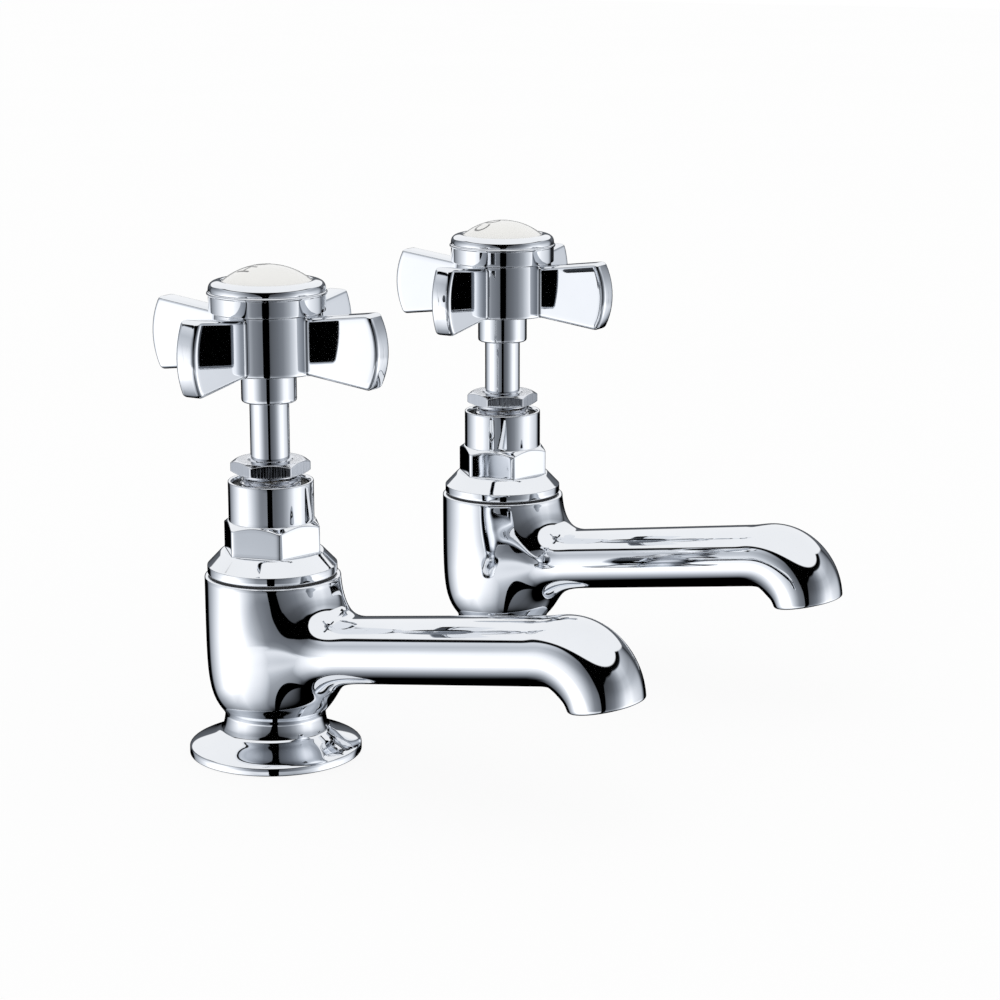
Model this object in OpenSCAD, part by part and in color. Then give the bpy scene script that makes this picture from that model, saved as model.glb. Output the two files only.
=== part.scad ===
// A pair of long nose pillar taps with cross handles and rising spindles, as fitted to a bath.
// Millimetres. X runs along the spouts, Z is up, and the deck lies at z = 0, midway between the taps.
// The hot tap stands at -Y and the cold tap at +Y. Both are drawn shut.

/* [Pair] */
// Distance between the two taps, centre to centre
tap_spacing = 130; // [110:1:230]
// Thickness of the deck that the backnuts clamp
deck_t = 18; // [6:1:26]

/* [Tail] */
// Outer radius of the tail's pipe thread, 3/4 inch
tail_r = 13.22; // [12:0.01:14]
// Length of the tail below the deck
tail_len = 50; // [48:1:70]
// Radius of the inlet bore up the tail
inlet_r = 8; // [6.5:0.25:9]
// Depth of the thread relief grooves
relief_depth = 0.8; // [0.4:0.1:1.2]
// Outer radius of the washer under the deck
tail_washer_r = 20; // [18:0.5:24]
// Thickness of the washer under the deck
tail_washer_t = 3; // [1.5:0.5:4]
// Height of the backnut
backnut_h = 12; // [8:0.5:14]
// Backnut across flats
backnut_af = 36; // [34:1:42]
// Thickness of the backnut's round flange
backnut_flange_t = 2.5; // [1.5:0.5:4]

/* [Body] */
// Radius of the flange on the deck
flange_r = 26; // [24.5:0.5:30]
// Height of the flange's upright rim
flange_rim = 2.2; // [1.6:0.1:3]
// Radius of the neck's foot, where it meets the flange
foot_r = 16.4; // [15.5:0.1:17]
// Height of the neck's foot
foot_z = 7.2; // [6:0.1:8]
// Radius of the neck
neck_r = 15.2; // [14:0.1:15.4]
// Height of the neck's narrowest point
neck_z = 12.5; // [11:0.1:13]
// Radius of the round body
bulb_r = 20.3; // [19.5:0.1:22]
// Height of the body's top face
body_top = 55.4; // [54:0.2:60]
// Rounding of the body's top edge
top_round = 0.8; // [0.3:0.1:1.5]
// Outer radius of the gasket under the flange
gasket_r = 23; // [21:0.5:23.5]
// Thickness of the gasket under the flange
gasket_t = 1.5; // [1:0.1:1.8]
// Radial width of the gasket
gasket_w = 6; // [3:0.5:6.5]

/* [Valve] */
// Radius of the opening in the valve seat
seat_r = 6.6; // [5:0.1:7]
// Height of the seat's lip
seat_z = 21.5; // [20.5:0.1:22.5]
// Width of the seat's lip
seat_w = 1.6; // [1:0.1:2]
// Depth of the groove round the seat
seat_groove = 3; // [2:0.1:3.5]
// Radius of the water chamber round the valve
chamber_r = 12.4; // [12:0.1:12.8]
// Radius of the thread that holds the headgear
headgear_r = 13.2; // [13:0.05:13.6]
// Height of the lower end of the headgear
headgear_z = 40.5; // [40:0.5:42]
// Radius of the rubber tap washer
washer_r = 10; // [9:0.1:10.5]
// Thickness of the rubber tap washer
washer_t = 4.5; // [3.5:0.1:5]
// Thickness of the jumper's plate
jumper_t = 2.4; // [1.8:0.1:3]
// Radius of the jumper's stem
jumper_stem_r = 3; // [2.5:0.1:3.4]
// Length of the jumper's stem above its plate
jumper_stem = 13; // [8:0.5:16]
// Lift of the valve from shut to fully open
lift = 6.35; // [4:0.05:6.5]

/* [Headgear] */
// Radius of the headgear's barrel
barrel_r = 11.2; // [10.6:0.1:11.3]
// Height of the barrel's top
barrel_top = 80; // [78:0.5:81]
// Thickness of the headgear's sealing washer
seal_t = 1; // [0.6:0.1:1.2]
// Headgear hexagon across flats
bonnet_af = 27; // [26.7:0.1:27.2]
// Height of the headgear's hexagon
bonnet_hex_h = 3.4; // [2.5:0.1:3.6]
// Gland nut across flats
gland_af = 20.7; // [19.5:0.1:21.5]
// Height of the gland nut's underside
gland_z = 86.3; // [85:0.1:88]
// Thickness of the gland nut's hexagon
gland_t = 4; // [3:0.1:5]
// Radius of the gland nut's thread
gland_thread_r = 9; // [8.4:0.1:9.6]
// Length of the gland nut's thread below its hexagon
gland_thread = 10; // [9:0.5:11]
// Height of the floor of the packing chamber
packing_z = 69.5; // [69:0.1:70.5]
// Thickness of the brass ring between the gland nut and the packing
follower_t = 1.5; // [1:0.1:2]
// Turn of the gland nut about the spindle
gland_turn = 37; // [0:1:59]

/* [Cover] */
// Radius of the cover's skirt
skirt_r = 19.6; // [19:0.1:20]
// Height of the skirt's upright band
skirt_band = 3; // [1.8:0.1:3.4]
// Height of the whole skirt, band and slope
skirt_h = 7.4; // [7:0.1:8]
// Cover hexagon across flats
cover_af = 26.6; // [26.4:0.1:27.6]
// Height of the cover's hexagon above the skirt
cover_hex_h = 8.6; // [6:0.1:10]
// Radius of the cover's round top
cover_r = 12.75; // [12.5:0.05:13]
// Height of the cover's rim
cover_top = 84; // [83:0.1:85]
// Turn of the cover about the spindle
cover_turn = 16; // [0:1:59]
// Thickness of the rubber ring under the cover
cover_seal_t = 0.6; // [0.4:0.1:0.8]

/* [Spindle] */
// Radius of the polished stem
stem_r = 5.85; // [5.6:0.05:6]
// Radius of the spindle's thread
spindle_thread_r = 8.3; // [7.8:0.1:8.5]
// Length of the spindle's thread
spindle_thread = 13; // [9:0.5:14]
// Height of the thread's lower end, shut
spindle_thread_z = 44; // [42.5:0.5:45]
// Radius of the splined end
spline_r = 4.6; // [4.2:0.1:4.8]
// Number of splines
spline_count = 20; // [12:1:24]
// Depth of a spline
spline_depth = 0.35; // [0.2:0.05:0.5]

/* [Spout] */
// Reach from the tap's axis to the middle of the mouth
reach = 115.3; // [95:0.5:140]
// Height of the spout's centre line at the tap's axis
spout_z = 31.5; // [31:0.1:33]
// Rise of the spout, in degrees
spout_rise = 8.5; // [4:0.5:9]
// Width of the spout
spout_w = 24.5; // [23:0.1:26]
// Depth of the spout
spout_d = 19.3; // [18.5:0.1:21]
// Radius of the bend on the spout's centre line
bend_r = 14; // [13.5:0.5:18]
// Straight length after the bend
nozzle_len = 2.2; // [1:0.1:8]
// Tilt of the mouth, front edge up, in degrees
mouth_tilt = 12; // [5:1:25]
// Width of the spout at its mouth
mouth_w = 24.4; // [22.5:0.1:25]
// Depth of the spout at its mouth
mouth_d = 21.3; // [21:0.1:24]
// Depth of the spout in the middle of its bend
bend_d = 23.1; // [21:0.1:23.5]
// Radius of the waterway through the spout
waterway_r = 6.6; // [5.5:0.1:7]
// Radius of the outlet bore
outlet_r = 8.6; // [7.5:0.1:9]
// Length of the outlet bore
outlet_len = 8; // [6:0.5:9]
// Length of the flare from the body into the spout
flare_len = 24; // [18:1:30]
// How much the flare deepens the spout towards the body
flare_d = 12; // [6:0.5:13]
// How much the flare widens the spout towards the body
flare_w = 3; // [1:0.5:3.5]

/* [Handle] */
// Height of the underside of the handle's hub
hub_z = 117; // [116:0.2:120]
// Radius of the hub
hub_r = 16.35; // [16:0.05:16.8]
// Height of the hub up to its collar
hub_h = 17.5; // [15:0.1:18.5]
// Radius of the collar above the arms
collar_r = 17.2; // [17:0.1:18]
// Height of the collar
collar_h = 6; // [5.6:0.1:7]
// How far the bead stands out at the collar's top
bead = 0.5; // [0.3:0.1:0.8]
// Distance from the spindle to the tip of an arm
arm_reach = 40.5; // [34:0.5:46]
// Thickness of an arm
arm_t = 6.9; // [6:0.1:9]
// Height of an arm at the hub
arm_root = 17; // [12:0.1:17.2]
// Height of an arm at its tip
arm_tip = 22.4; // [18:0.1:24]
// Radius of the bowed end of an arm
arm_bow = 22.5; // [14:0.5:30]
// Angle at which the spline holds the cross
arm_turn = 1.8; // [-9:0.1:9]
// Radius of the sleeve below the hub
sleeve_r = 8.2; // [7.6:0.1:8.8]
// Length of the sleeve below the hub
sleeve_h = 9.3; // [6:0.1:10]
// Thickness of the web that the handle screw bears on
web_t = 3.5; // [2.5:0.1:4]

/* [Index] */
// Radius of the bezel
bezel_r = 17.3; // [17:0.1:18]
// Height of the bezel above the collar
bezel_h = 3.2; // [2.6:0.1:4]
// Radius of the ceramic dome where it shows
dome_r = 13.2; // [12.6:0.1:14.2]
// Height of the dome above the bezel
dome_h = 4.7; // [3:0.1:6]
// Radius of the handle screw's head
screw_head_r = 4.4; // [4:0.1:5]
// Radius of the handle screw's thread
screw_r = 2.4; // [2:0.1:2.6]
// Length of the handle screw below its head
screw_len = 14; // [12:0.5:18]

/* [Clearances] */
// Running clearance between the spindle and what it turns in
run_gap = 0.06; // [0.02:0.01:0.1]
// Clearance of a screwed or pressed joint
fit_gap = 0.05; // [0.02:0.01:0.08]
// Clearance between pieces that only lie beside each other
loose_gap = 0.3; // [0.2:0.05:0.4]

/* [Hidden] */
$fn = 72;

// Colours of the finishes
chrome = [0.80, 0.82, 0.85];
brass = [0.78, 0.64, 0.34];
rubber = [0.12, 0.12, 0.13];
fibre = [0.55, 0.22, 0.18];
ceramic = [0.95, 0.94, 0.90];
// A length past a face, so that a cut leaves no skin
past = 1;
// Small chamfer on turned edges
chamfer = 0.8;

// Places along the tail, down from the deck
washer_z = -deck_t;
nut_z = washer_z - tail_washer_t;
nut_foot = nut_z - backnut_h;
relief_r = tail_r - relief_depth;
// The nut's last turns are opened out over the lower groove
nut_relief = 1.5;

// Places of the valve, shut
jumper_z = seat_z + washer_t;
spindle_foot = jumper_z + jumper_t;
peg_r = 1.6;
peg_len = washer_t + 2.6;
washer_nut_af = 5.5;
washer_nut_t = 2.2;
foot_len = spindle_thread_z - spindle_foot;
spindle_foot_r = spindle_thread_r - 1.2;
// The thread inside the headgear is long enough for the whole lift
thread_room = spindle_thread_z + spindle_thread + lift + loose_gap;

// Places of the headgear and its cover
bonnet_z = body_top + seal_t;
bonnet_hex_top = bonnet_z + bonnet_hex_h;
skirt_z = body_top + cover_seal_t;
band_top = skirt_z + skirt_band;
cover_hex_z = skirt_z + skirt_h;
cover_hex_top = cover_hex_z + cover_hex_h;
cover_wall = 1.6;
cover_bore = barrel_r + fit_gap;
follower_z = gland_z - gland_thread - follower_t;
gland_top = gland_z + gland_t;

// Places of the handle and the index
sleeve_z = hub_z - sleeve_h;
collar_z = hub_z + hub_h;
collar_top = collar_z + collar_h;
web_top = collar_z + 0.4;
bush_top = web_top - web_t;
spline_z = hub_z + 1.2;
spline_top = bush_top - 0.5;
bush_r = sleeve_r - 0.7;
index_r = dome_r + 0.9;
index_z = collar_top - 1.6;
index_ledge = collar_top + 2.1;
bezel_skirt_r = index_r + 0.75;
bezel_skirt_z = web_top + 1.4;
bezel_top = collar_top + bezel_h;
screw_head_h = 2.8;
arm_mid = hub_z + arm_root / 2;

// Places along the spout, in the plane of its centre line
bend_from = reach - bend_r * (sin(spout_rise) + cos(mouth_tilt)) - nozzle_len * sin(mouth_tilt);
bend_from_z = spout_z + bend_from * tan(spout_rise);
mouth_z = bend_from_z + bend_r * (sin(mouth_tilt) - cos(spout_rise)) - nozzle_len * cos(mouth_tilt);
nozzle_dir = mouth_tilt - 90;
bend_turn = spout_rise - nozzle_dir;
run_len = bend_from / cos(spout_rise);
bend_len = bend_r * bend_turn * PI / 180;
// The depth begins to swell just before the bend
swell_from = run_len - 1.2;
spout_len = run_len + bend_len + nozzle_len;

// A cubic curve from p to q, with its two handles, as points
function curve(p, a, b, q, n) = [for (i = [0:n]) let (t = i / n, s = 1 - t)
    s * s * s * p + 3 * s * s * t * a + 3 * s * t * t * b + t * t * t * q];

// Points of a round corner about c, from one angle to another
function corner(c, r, from, to, n) = [for (i = [0:n]) let (a = from + (to - from) * i / n)
    c + r * [cos(a), sin(a)]];

// Puts a piece on one of the two taps
module at_hot() { translate([0, -tap_spacing / 2, 0]) children(); }
module at_cold() { translate([0, tap_spacing / 2, 0]) children(); }

// A ring about the tap's axis
module ring(r_out, r_in, z, h) {
    translate([0, 0, z]) rotate_extrude() translate([r_in, 0]) square([r_out - r_in, h]);
}

// A hexagon with both ends turned down at its corners
module hex_prism(af, z, h, turn, bevel) {
    corner_r = af / 2 / cos(30);
    round_r = corner_r - 0.15;
    intersection() {
        translate([0, 0, z]) rotate(turn) cylinder(h = h, r = corner_r, $fn = 6);
        translate([0, 0, z]) rotate_extrude() polygon([
            [0, 0], [round_r - bevel, 0], [round_r, bevel * 0.6],
            [round_r, h - bevel * 0.6], [round_r - bevel, h], [0, h]]);
    }
}

// Outer outline of the turned body, from the flange to the top
body_outline = concat(
    [[0, 0], [flange_r - 0.5, 0], [flange_r, 0.5], [flange_r, flange_rim - 0.5]],
    curve([flange_r, flange_rim - 0.3], [flange_r - 0.1, flange_rim + 1.1],
        [foot_r + 6, foot_z - 2.3], [foot_r + 0.8, foot_z - 0.5], 8),
    curve([foot_r - 0.1, foot_z + 0.1], [neck_r + 0.3, foot_z + 1.2],
        [neck_r - 0.1, neck_z - 2], [neck_r, neck_z], 6),
    curve([neck_r + 0.3, neck_z + 0.3], [neck_r + 1.8, neck_z + 1.2],
        [bulb_r - 1.1, neck_z + 5.8], [bulb_r - 0.55, neck_z + 12.8], 8),
    curve([bulb_r - 0.5, neck_z + 13.6], [bulb_r - 0.2, neck_z + 20],
        [bulb_r, body_top - 18], [bulb_r, body_top - 10], 4),
    corner([bulb_r - top_round, body_top - top_round], top_round, 0, 90, 4),
    [[0, body_top]]);

// Unit outline of the spout's section, a slightly squared oval
section_n = 28;
square_power = 2 / 2.3;
function bent(v) = sign(v) * pow(abs(v), square_power);
section = [for (i = [0:section_n - 1]) let (a = 360 * i / section_n) [bent(cos(a)), bent(sin(a))]];

// Place and direction of the centre line after a length s from the tap's axis
function spout_at(s) =
    s <= run_len ? [s * cos(spout_rise), spout_z + s * sin(spout_rise), spout_rise]
    : s <= run_len + bend_len ? let (a = spout_rise - (s - run_len) / bend_len * bend_turn)
        [bend_from + bend_r * (sin(spout_rise) - sin(a)),
         bend_from_z + bend_r * (cos(a) - cos(spout_rise)), a]
    : let (e = s - spout_len)
        [reach + e * cos(nozzle_dir), mouth_z + e * sin(nozzle_dir), nozzle_dir];

// The flare starts inside the body and dies away along its length like a fillet
flare_sink = 8.3;
flare_from = bulb_r - flare_sink;
root_from = flare_from + 2;
function flare_at(s) = let (t = min(1, max(0, (s - flare_from) / flare_len))) pow(1 - t, 3);
function swell(s) = min(1, max(0, (s - swell_from) / (spout_len - swell_from)));
function depth_at(s) = let (q = swell(s), m = 2 * bend_d - (spout_d + mouth_d) / 2)
    spout_d * (1 - q) * (1 - q) + 2 * q * (1 - q) * m + mouth_d * q * q + 2 * flare_d * flare_at(s);
function width_at(s) = spout_w + (mouth_w - spout_w) * swell(s) + 2 * flare_w * flare_at(s);

// Lengths at which the spout has a section, close together where it changes
flare_end = flare_from + flare_len;
flare_steps = 8;
bend_steps = 10;
spout_stations = concat(
    [for (i = [0:flare_steps]) root_from + (flare_end - root_from) * pow(i / flare_steps, 1.2)],
    [swell_from, (swell_from + run_len) / 2],
    [for (i = [0:bend_steps]) run_len + bend_len * i / bend_steps],
    [spout_len]);

function section_points(s) = let (p = spout_at(s), d = depth_at(s) / 2, w = width_at(s) / 2)
    [for (v = section) [p[0] - sin(p[2]) * d * v[1], w * v[0], p[1] + cos(p[2]) * d * v[1]]];

// A closed skin over a row of sections that all have n points
module skin(rings, n) {
    rows = len(rings);
    polyhedron(
        points = [for (r = rings) for (p = r) p],
        faces = concat(
            [for (i = [0:rows - 2]) for (j = [0:n - 1]) let (a = i * n, b = a + n, k = (j + 1) % n)
                [a + j, b + j, b + k]],
            [for (i = [0:rows - 2]) for (j = [0:n - 1]) let (a = i * n, b = a + n, k = (j + 1) % n)
                [a + j, b + k, a + k]],
            [[for (j = [0:n - 1]) j]],
            [[for (j = [n - 1:-1:0]) (rows - 1) * n + j]]));
}

module spout() {
    skin([for (s = spout_stations) section_points(s)], section_n);
}

// A drilled way in the plane of the spout, from a point and in a direction
module drilled(from, dir, len, r) {
    translate([from[0], 0, from[1]]) rotate([0, 90 - dir, 0]) cylinder(h = len, r = r);
}

// The waterway from the chamber to the mouth, in three straight stretches with round knuckles
module waterway() {
    start = 6;
    knuckle_r = waterway_r + 0.25;
    kink = bend_r * tan(bend_turn / 4);
    along = [cos(spout_rise), sin(spout_rise)];
    down = [cos(nozzle_dir), sin(nozzle_dir)];
    mouth = [reach, mouth_z];
    first = [bend_from, bend_from_z] + kink * along;
    last = mouth - (nozzle_len + kink) * down;
    drilled([0, spout_z] + start * along, spout_rise, run_len + kink - start, waterway_r);
    drilled(first, spout_rise - bend_turn / 2, 2 * kink, waterway_r);
    drilled(last, nozzle_dir, nozzle_len + kink, waterway_r);
    for (p = [first, last]) translate([p[0], 0, p[1]]) sphere(knuckle_r);
    drilled(mouth - outlet_len * down, nozzle_dir, outlet_len + past, outlet_r);
}

module body() {
    color(chrome) difference() {
        union() {
            rotate_extrude() polygon(body_outline);
            spout();
            rotate_extrude() polygon([
                [0, 2], [tail_r, 2], [tail_r, washer_z], [relief_r, washer_z],
                [relief_r, nut_z], [tail_r, nut_z], [tail_r, nut_foot + nut_relief],
                [relief_r, nut_foot + nut_relief], [relief_r, nut_foot], [tail_r, nut_foot],
                [tail_r, chamfer - tail_len], [tail_r - chamfer, -tail_len], [0, -tail_len]]);
        }
        translate([0, 0, -tail_len - past])
            cylinder(h = tail_len + past + seat_z - seat_groove - 3, r = inlet_r);
        cylinder(h = seat_z + past, r = seat_r);
        rotate_extrude() polygon([
            [0, seat_z], [seat_r + seat_w, seat_z], [seat_r + seat_w, seat_z - seat_groove],
            [chamber_r, seat_z - seat_groove], [chamber_r, headgear_z - 2],
            [headgear_r, headgear_z - 2], [headgear_r, body_top + past], [0, body_top + past]]);
        waterway();
        ring(gasket_r, gasket_r - gasket_w, -past, gasket_t + past);
    }
}

module deck_gasket() {
    color(rubber) ring(gasket_r - fit_gap, gasket_r - gasket_w + fit_gap, 0, gasket_t);
}

module tail_washer() {
    color(fibre) ring(tail_washer_r, tail_r + fit_gap, nut_z, tail_washer_t);
}

module backnut() {
    color(brass) difference() {
        union() {
            hex_prism(backnut_af, nut_foot, backnut_h - backnut_flange_t + 0.5, 0, 1.2);
            ring(tail_washer_r + 1, 0, nut_z - backnut_flange_t, backnut_flange_t);
        }
        translate([0, 0, nut_foot - past]) cylinder(h = backnut_h + 2 * past, r = tail_r + fit_gap);
    }
}

module headgear() {
    color(brass) difference() {
        union() {
            ring(headgear_r - fit_gap, 0, headgear_z, bonnet_z - headgear_z + 1);
            hex_prism(bonnet_af, bonnet_z, bonnet_hex_h, cover_turn + 30, 0.6);
            ring(barrel_r, 0, bonnet_z + 1, barrel_top - bonnet_z - 1);
        }
        translate([0, 0, headgear_z - past])
            cylinder(h = thread_room - headgear_z + past, r = spindle_thread_r + run_gap);
        translate([0, 0, headgear_z]) cylinder(h = barrel_top - headgear_z, r = stem_r + run_gap);
        translate([0, 0, packing_z])
            cylinder(h = barrel_top - packing_z + past, r = gland_thread_r + fit_gap);
    }
}

module headgear_washer() {
    color(fibre) ring(bonnet_af / 2, headgear_r - fit_gap, body_top, seal_t);
}

// Outline of the cover's outside, turned about its axis
cover_outline = concat(
    [[0, skirt_z]],
    corner([skirt_r - 0.3, skirt_z + 0.3], 0.3, -90, 0, 2),
    curve([skirt_r, band_top], [skirt_r - 1.1, band_top + 1.9],
        [cover_af / 2 + 3.3, cover_hex_z - 0.5], [cover_af / 2 + 0.6, cover_hex_z], 7));

module cover() {
    rim = 0.8;
    cavity_r = bonnet_af / 2 / cos(30) + loose_gap;
    corner_r = cover_af / 2 / cos(30);
    // The hexagon starts a little inside the skirt, and its corners are turned down at the top
    sunk = 0.6;
    turned = 1.5;
    hex_len = cover_hex_h + sunk;
    color(chrome) difference() {
        union() {
            rotate_extrude() polygon(concat(cover_outline, [[0, cover_hex_z]]));
            intersection() {
                translate([0, 0, cover_hex_z - sunk]) rotate(cover_turn)
                    cylinder(h = hex_len, r = corner_r, $fn = 6);
                translate([0, 0, cover_hex_z - sunk]) rotate_extrude() polygon([
                    [0, 0], [corner_r - 0.25, 0], [corner_r - 0.25, hex_len - turned],
                    [cover_af / 2 - 0.4, hex_len], [0, hex_len]]);
            }
            translate([0, 0, cover_hex_z]) rotate_extrude() polygon(concat(
                [[0, 0], [cover_r, 0]],
                corner([cover_r - 0.4, cover_top - cover_hex_z - 0.4], 0.4, 0, 90, 3),
                [[0, cover_top - cover_hex_z]]));
        }
        translate([0, 0, skirt_z - past])
            cylinder(h = cover_top - skirt_z + 2 * past, r = cover_bore);
        translate([0, 0, cover_top - rim]) cylinder(h = rim + 0.01, r1 = cover_bore, r2 = cover_r - 0.5);
        rotate_extrude() polygon([
            [0, skirt_z - past], [skirt_r - cover_wall, skirt_z - past],
            [skirt_r - cover_wall, band_top - 0.6], [cavity_r, bonnet_hex_top + 0.2],
            [0, bonnet_hex_top + 0.2]]);
    }
}

module cover_seal() {
    color(rubber) ring(skirt_r - 0.5, skirt_r - cover_wall - 0.6, body_top, cover_seal_t);
}

module gland_nut() {
    color(chrome) difference() {
        union() {
            hex_prism(gland_af, gland_z, gland_t, gland_turn, 0.9);
            ring(gland_thread_r, 0, gland_z - gland_thread, gland_thread + 1);
        }
        translate([0, 0, gland_z - gland_thread - past])
            cylinder(h = gland_thread + gland_t + 2 * past, r = stem_r + run_gap);
    }
}

module gland_follower() {
    color(brass) ring(gland_thread_r - fit_gap, stem_r + run_gap, follower_z, follower_t);
}

module gland_packing() {
    color(rubber) ring(gland_thread_r, stem_r + run_gap / 2, packing_z, follower_z - packing_z);
}

module jumper() {
    color(brass) union() {
        ring(washer_r + 0.4, 0, jumper_z, jumper_t);
        translate([0, 0, jumper_z]) cylinder(h = jumper_t + jumper_stem, r = jumper_stem_r);
        translate([0, 0, jumper_z - peg_len]) cylinder(h = peg_len + 1, r = peg_r);
    }
}

module tap_washer() {
    color(rubber) ring(washer_r, peg_r + fit_gap, seat_z, washer_t);
}

module washer_nut() {
    color(brass) difference() {
        hex_prism(washer_nut_af, seat_z - washer_nut_t, washer_nut_t, 0, 0.3);
        translate([0, 0, seat_z - washer_nut_t - past])
            cylinder(h = washer_nut_t + 2 * past, r = peg_r + fit_gap);
    }
}

// A splined bar, or with grow above zero the hole that it fits
module splines(z, h, grow) {
    translate([0, 0, z]) linear_extrude(h) polygon([for (i = [0:2 * spline_count - 1])
        let (r = spline_r + grow - (i % 2) * spline_depth, a = 180 * i / spline_count)
        r * [cos(a), sin(a)]]);
}

module spindle() {
    color(chrome) difference() {
        union() {
            ring(spindle_foot_r, 0, spindle_foot, foot_len + 1);
            ring(spindle_thread_r, 0, spindle_thread_z, spindle_thread);
            ring(stem_r, 0, spindle_thread_z, spline_z - spindle_thread_z);
            splines(spline_z - 1, spline_top - spline_z + 1, 0);
        }
        translate([0, 0, spindle_foot - past])
            cylinder(h = jumper_stem + 1 + past, r = jumper_stem_r + run_gap);
        translate([0, 0, web_top - screw_len - 1])
            cylinder(h = screw_len + 1, r = screw_r + fit_gap);
    }
}

// One arm seen from the side: it flares to a bowed end
module arm() {
    half = arm_tip / 2;
    spread = asin(half / arm_bow);
    from = hub_r - 5;
    intersection() {
        translate([0, arm_t / 2, arm_mid]) rotate([90, 0, 0]) linear_extrude(arm_t) polygon(concat(
            [[from, -arm_root / 2], [hub_r, -arm_root / 2]],
            corner([arm_reach - arm_bow, 0], arm_bow, -spread, spread, 12),
            [[hub_r, arm_root / 2], [from, arm_root / 2]]));
        translate([0, -arm_t / 2, arm_mid - half - past]) linear_extrude(arm_tip + 2 * past) polygon([
            [0, 0], [arm_reach - chamfer, 0], [arm_reach, chamfer],
            [arm_reach, arm_t - chamfer], [arm_reach - chamfer, arm_t], [0, arm_t]]);
    }
}

module handle() {
    color(chrome) difference() {
        union() {
            rotate_extrude() polygon(concat(
                [[0, hub_z], [hub_r - 0.5, hub_z], [hub_r, hub_z + 0.5], [hub_r, collar_z]],
                [[collar_r, web_top], [collar_r, collar_top - 2 * bead]],
                corner([collar_r, collar_top - bead], bead, -80, 80, 6),
                [[collar_r - bead, collar_top], [0, collar_top]]));
            for (k = [0:3]) rotate(arm_turn + 90 * k) arm();
        }
        translate([0, 0, hub_z - past]) cylinder(h = bush_top - hub_z + past, r = bush_r + fit_gap);
        cylinder(h = collar_top + past, r = screw_r + loose_gap);
        translate([0, 0, web_top])
            cylinder(h = collar_top - web_top + past, r = bezel_skirt_r + fit_gap);
    }
}

module handle_bush() {
    color(chrome) difference() {
        union() {
            rotate_extrude() polygon(concat(
                corner([sleeve_r - 0.8, sleeve_z + 0.8], 0.8, -90, 0, 4),
                [[sleeve_r, hub_z], [0, hub_z], [0, sleeve_z]]));
            ring(bush_r, 0, hub_z - 1, bush_top - hub_z + 1);
        }
        translate([0, 0, sleeve_z - past])
            cylinder(h = spline_z - sleeve_z + past + 0.1, r = stem_r + fit_gap);
        splines(spline_z, bush_top - spline_z + past, fit_gap);
    }
}

module handle_screw() {
    slot_w = 1.2;
    color(brass) difference() {
        union() {
            ring(screw_head_r, 0, web_top, screw_head_h);
            ring(screw_r, 0, web_top - screw_len, screw_len + 1);
        }
        translate([-screw_head_r - past, -slot_w / 2, web_top + screw_head_h - slot_w])
            cube([2 * (screw_head_r + past), slot_w, slot_w + past]);
    }
}

module bezel() {
    color(chrome) rotate_extrude() polygon(concat(
        [[bezel_skirt_r, bezel_skirt_z], [bezel_skirt_r, collar_top], [bezel_r, collar_top]],
        curve([bezel_r, collar_top + 0.9], [bezel_r, bezel_top - 0.9],
            [bezel_r - 1.2, bezel_top - 0.1], [dome_r + 0.6, bezel_top], 8),
        [[dome_r + fit_gap, bezel_top - 0.2], [dome_r + fit_gap, index_ledge + fit_gap],
         [index_r + fit_gap, index_ledge + fit_gap], [index_r + fit_gap, bezel_skirt_z]]));
}

module index_button() {
    dome_sphere = (dome_r * dome_r + dome_h * dome_h) / 2 / dome_h;
    dome_from = bezel_top - 0.2;
    color(ceramic) rotate_extrude() polygon(concat(
        [[0, index_z], [index_r, index_z], [index_r, index_ledge], [dome_r, index_ledge]],
        [for (i = [0:10]) let (a = asin(dome_r / dome_sphere) * (1 - i / 10))
            [dome_sphere * sin(a), dome_from + dome_h - dome_sphere * (1 - cos(a))]]));
}

at_hot() body();  // hot_body
at_hot() deck_gasket();  // hot_deck_gasket
at_hot() tail_washer();  // hot_tail_washer
at_hot() backnut();  // hot_backnut
at_hot() headgear();  // hot_headgear
at_hot() headgear_washer();  // hot_headgear_washer
at_hot() cover();  // hot_cover
at_hot() cover_seal();  // hot_cover_seal
at_hot() gland_nut();  // hot_gland_nut
at_hot() gland_follower();  // hot_gland_follower
at_hot() gland_packing();  // hot_gland_packing
at_hot() jumper();  // hot_jumper
at_hot() tap_washer();  // hot_tap_washer
at_hot() washer_nut();  // hot_washer_nut
at_hot() spindle();  // hot_spindle
at_hot() handle();  // hot_handle
at_hot() handle_bush();  // hot_handle_bush
at_hot() handle_screw();  // hot_handle_screw
at_hot() bezel();  // hot_bezel
at_hot() index_button();  // hot_index

at_cold() body();  // cold_body
at_cold() deck_gasket();  // cold_deck_gasket
at_cold() tail_washer();  // cold_tail_washer
at_cold() backnut();  // cold_backnut
at_cold() headgear();  // cold_headgear
at_cold() headgear_washer();  // cold_headgear_washer
at_cold() cover();  // cold_cover
at_cold() cover_seal();  // cold_cover_seal
at_cold() gland_nut();  // cold_gland_nut
at_cold() gland_follower();  // cold_gland_follower
at_cold() gland_packing();  // cold_gland_packing
at_cold() jumper();  // cold_jumper
at_cold() tap_washer();  // cold_tap_washer
at_cold() washer_nut();  // cold_washer_nut
at_cold() spindle();  // cold_spindle
at_cold() handle();  // cold_handle
at_cold() handle_bush();  // cold_handle_bush
at_cold() handle_screw();  // cold_handle_screw
at_cold() bezel();  // cold_bezel
at_cold() index_button();  // cold_index
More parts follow.
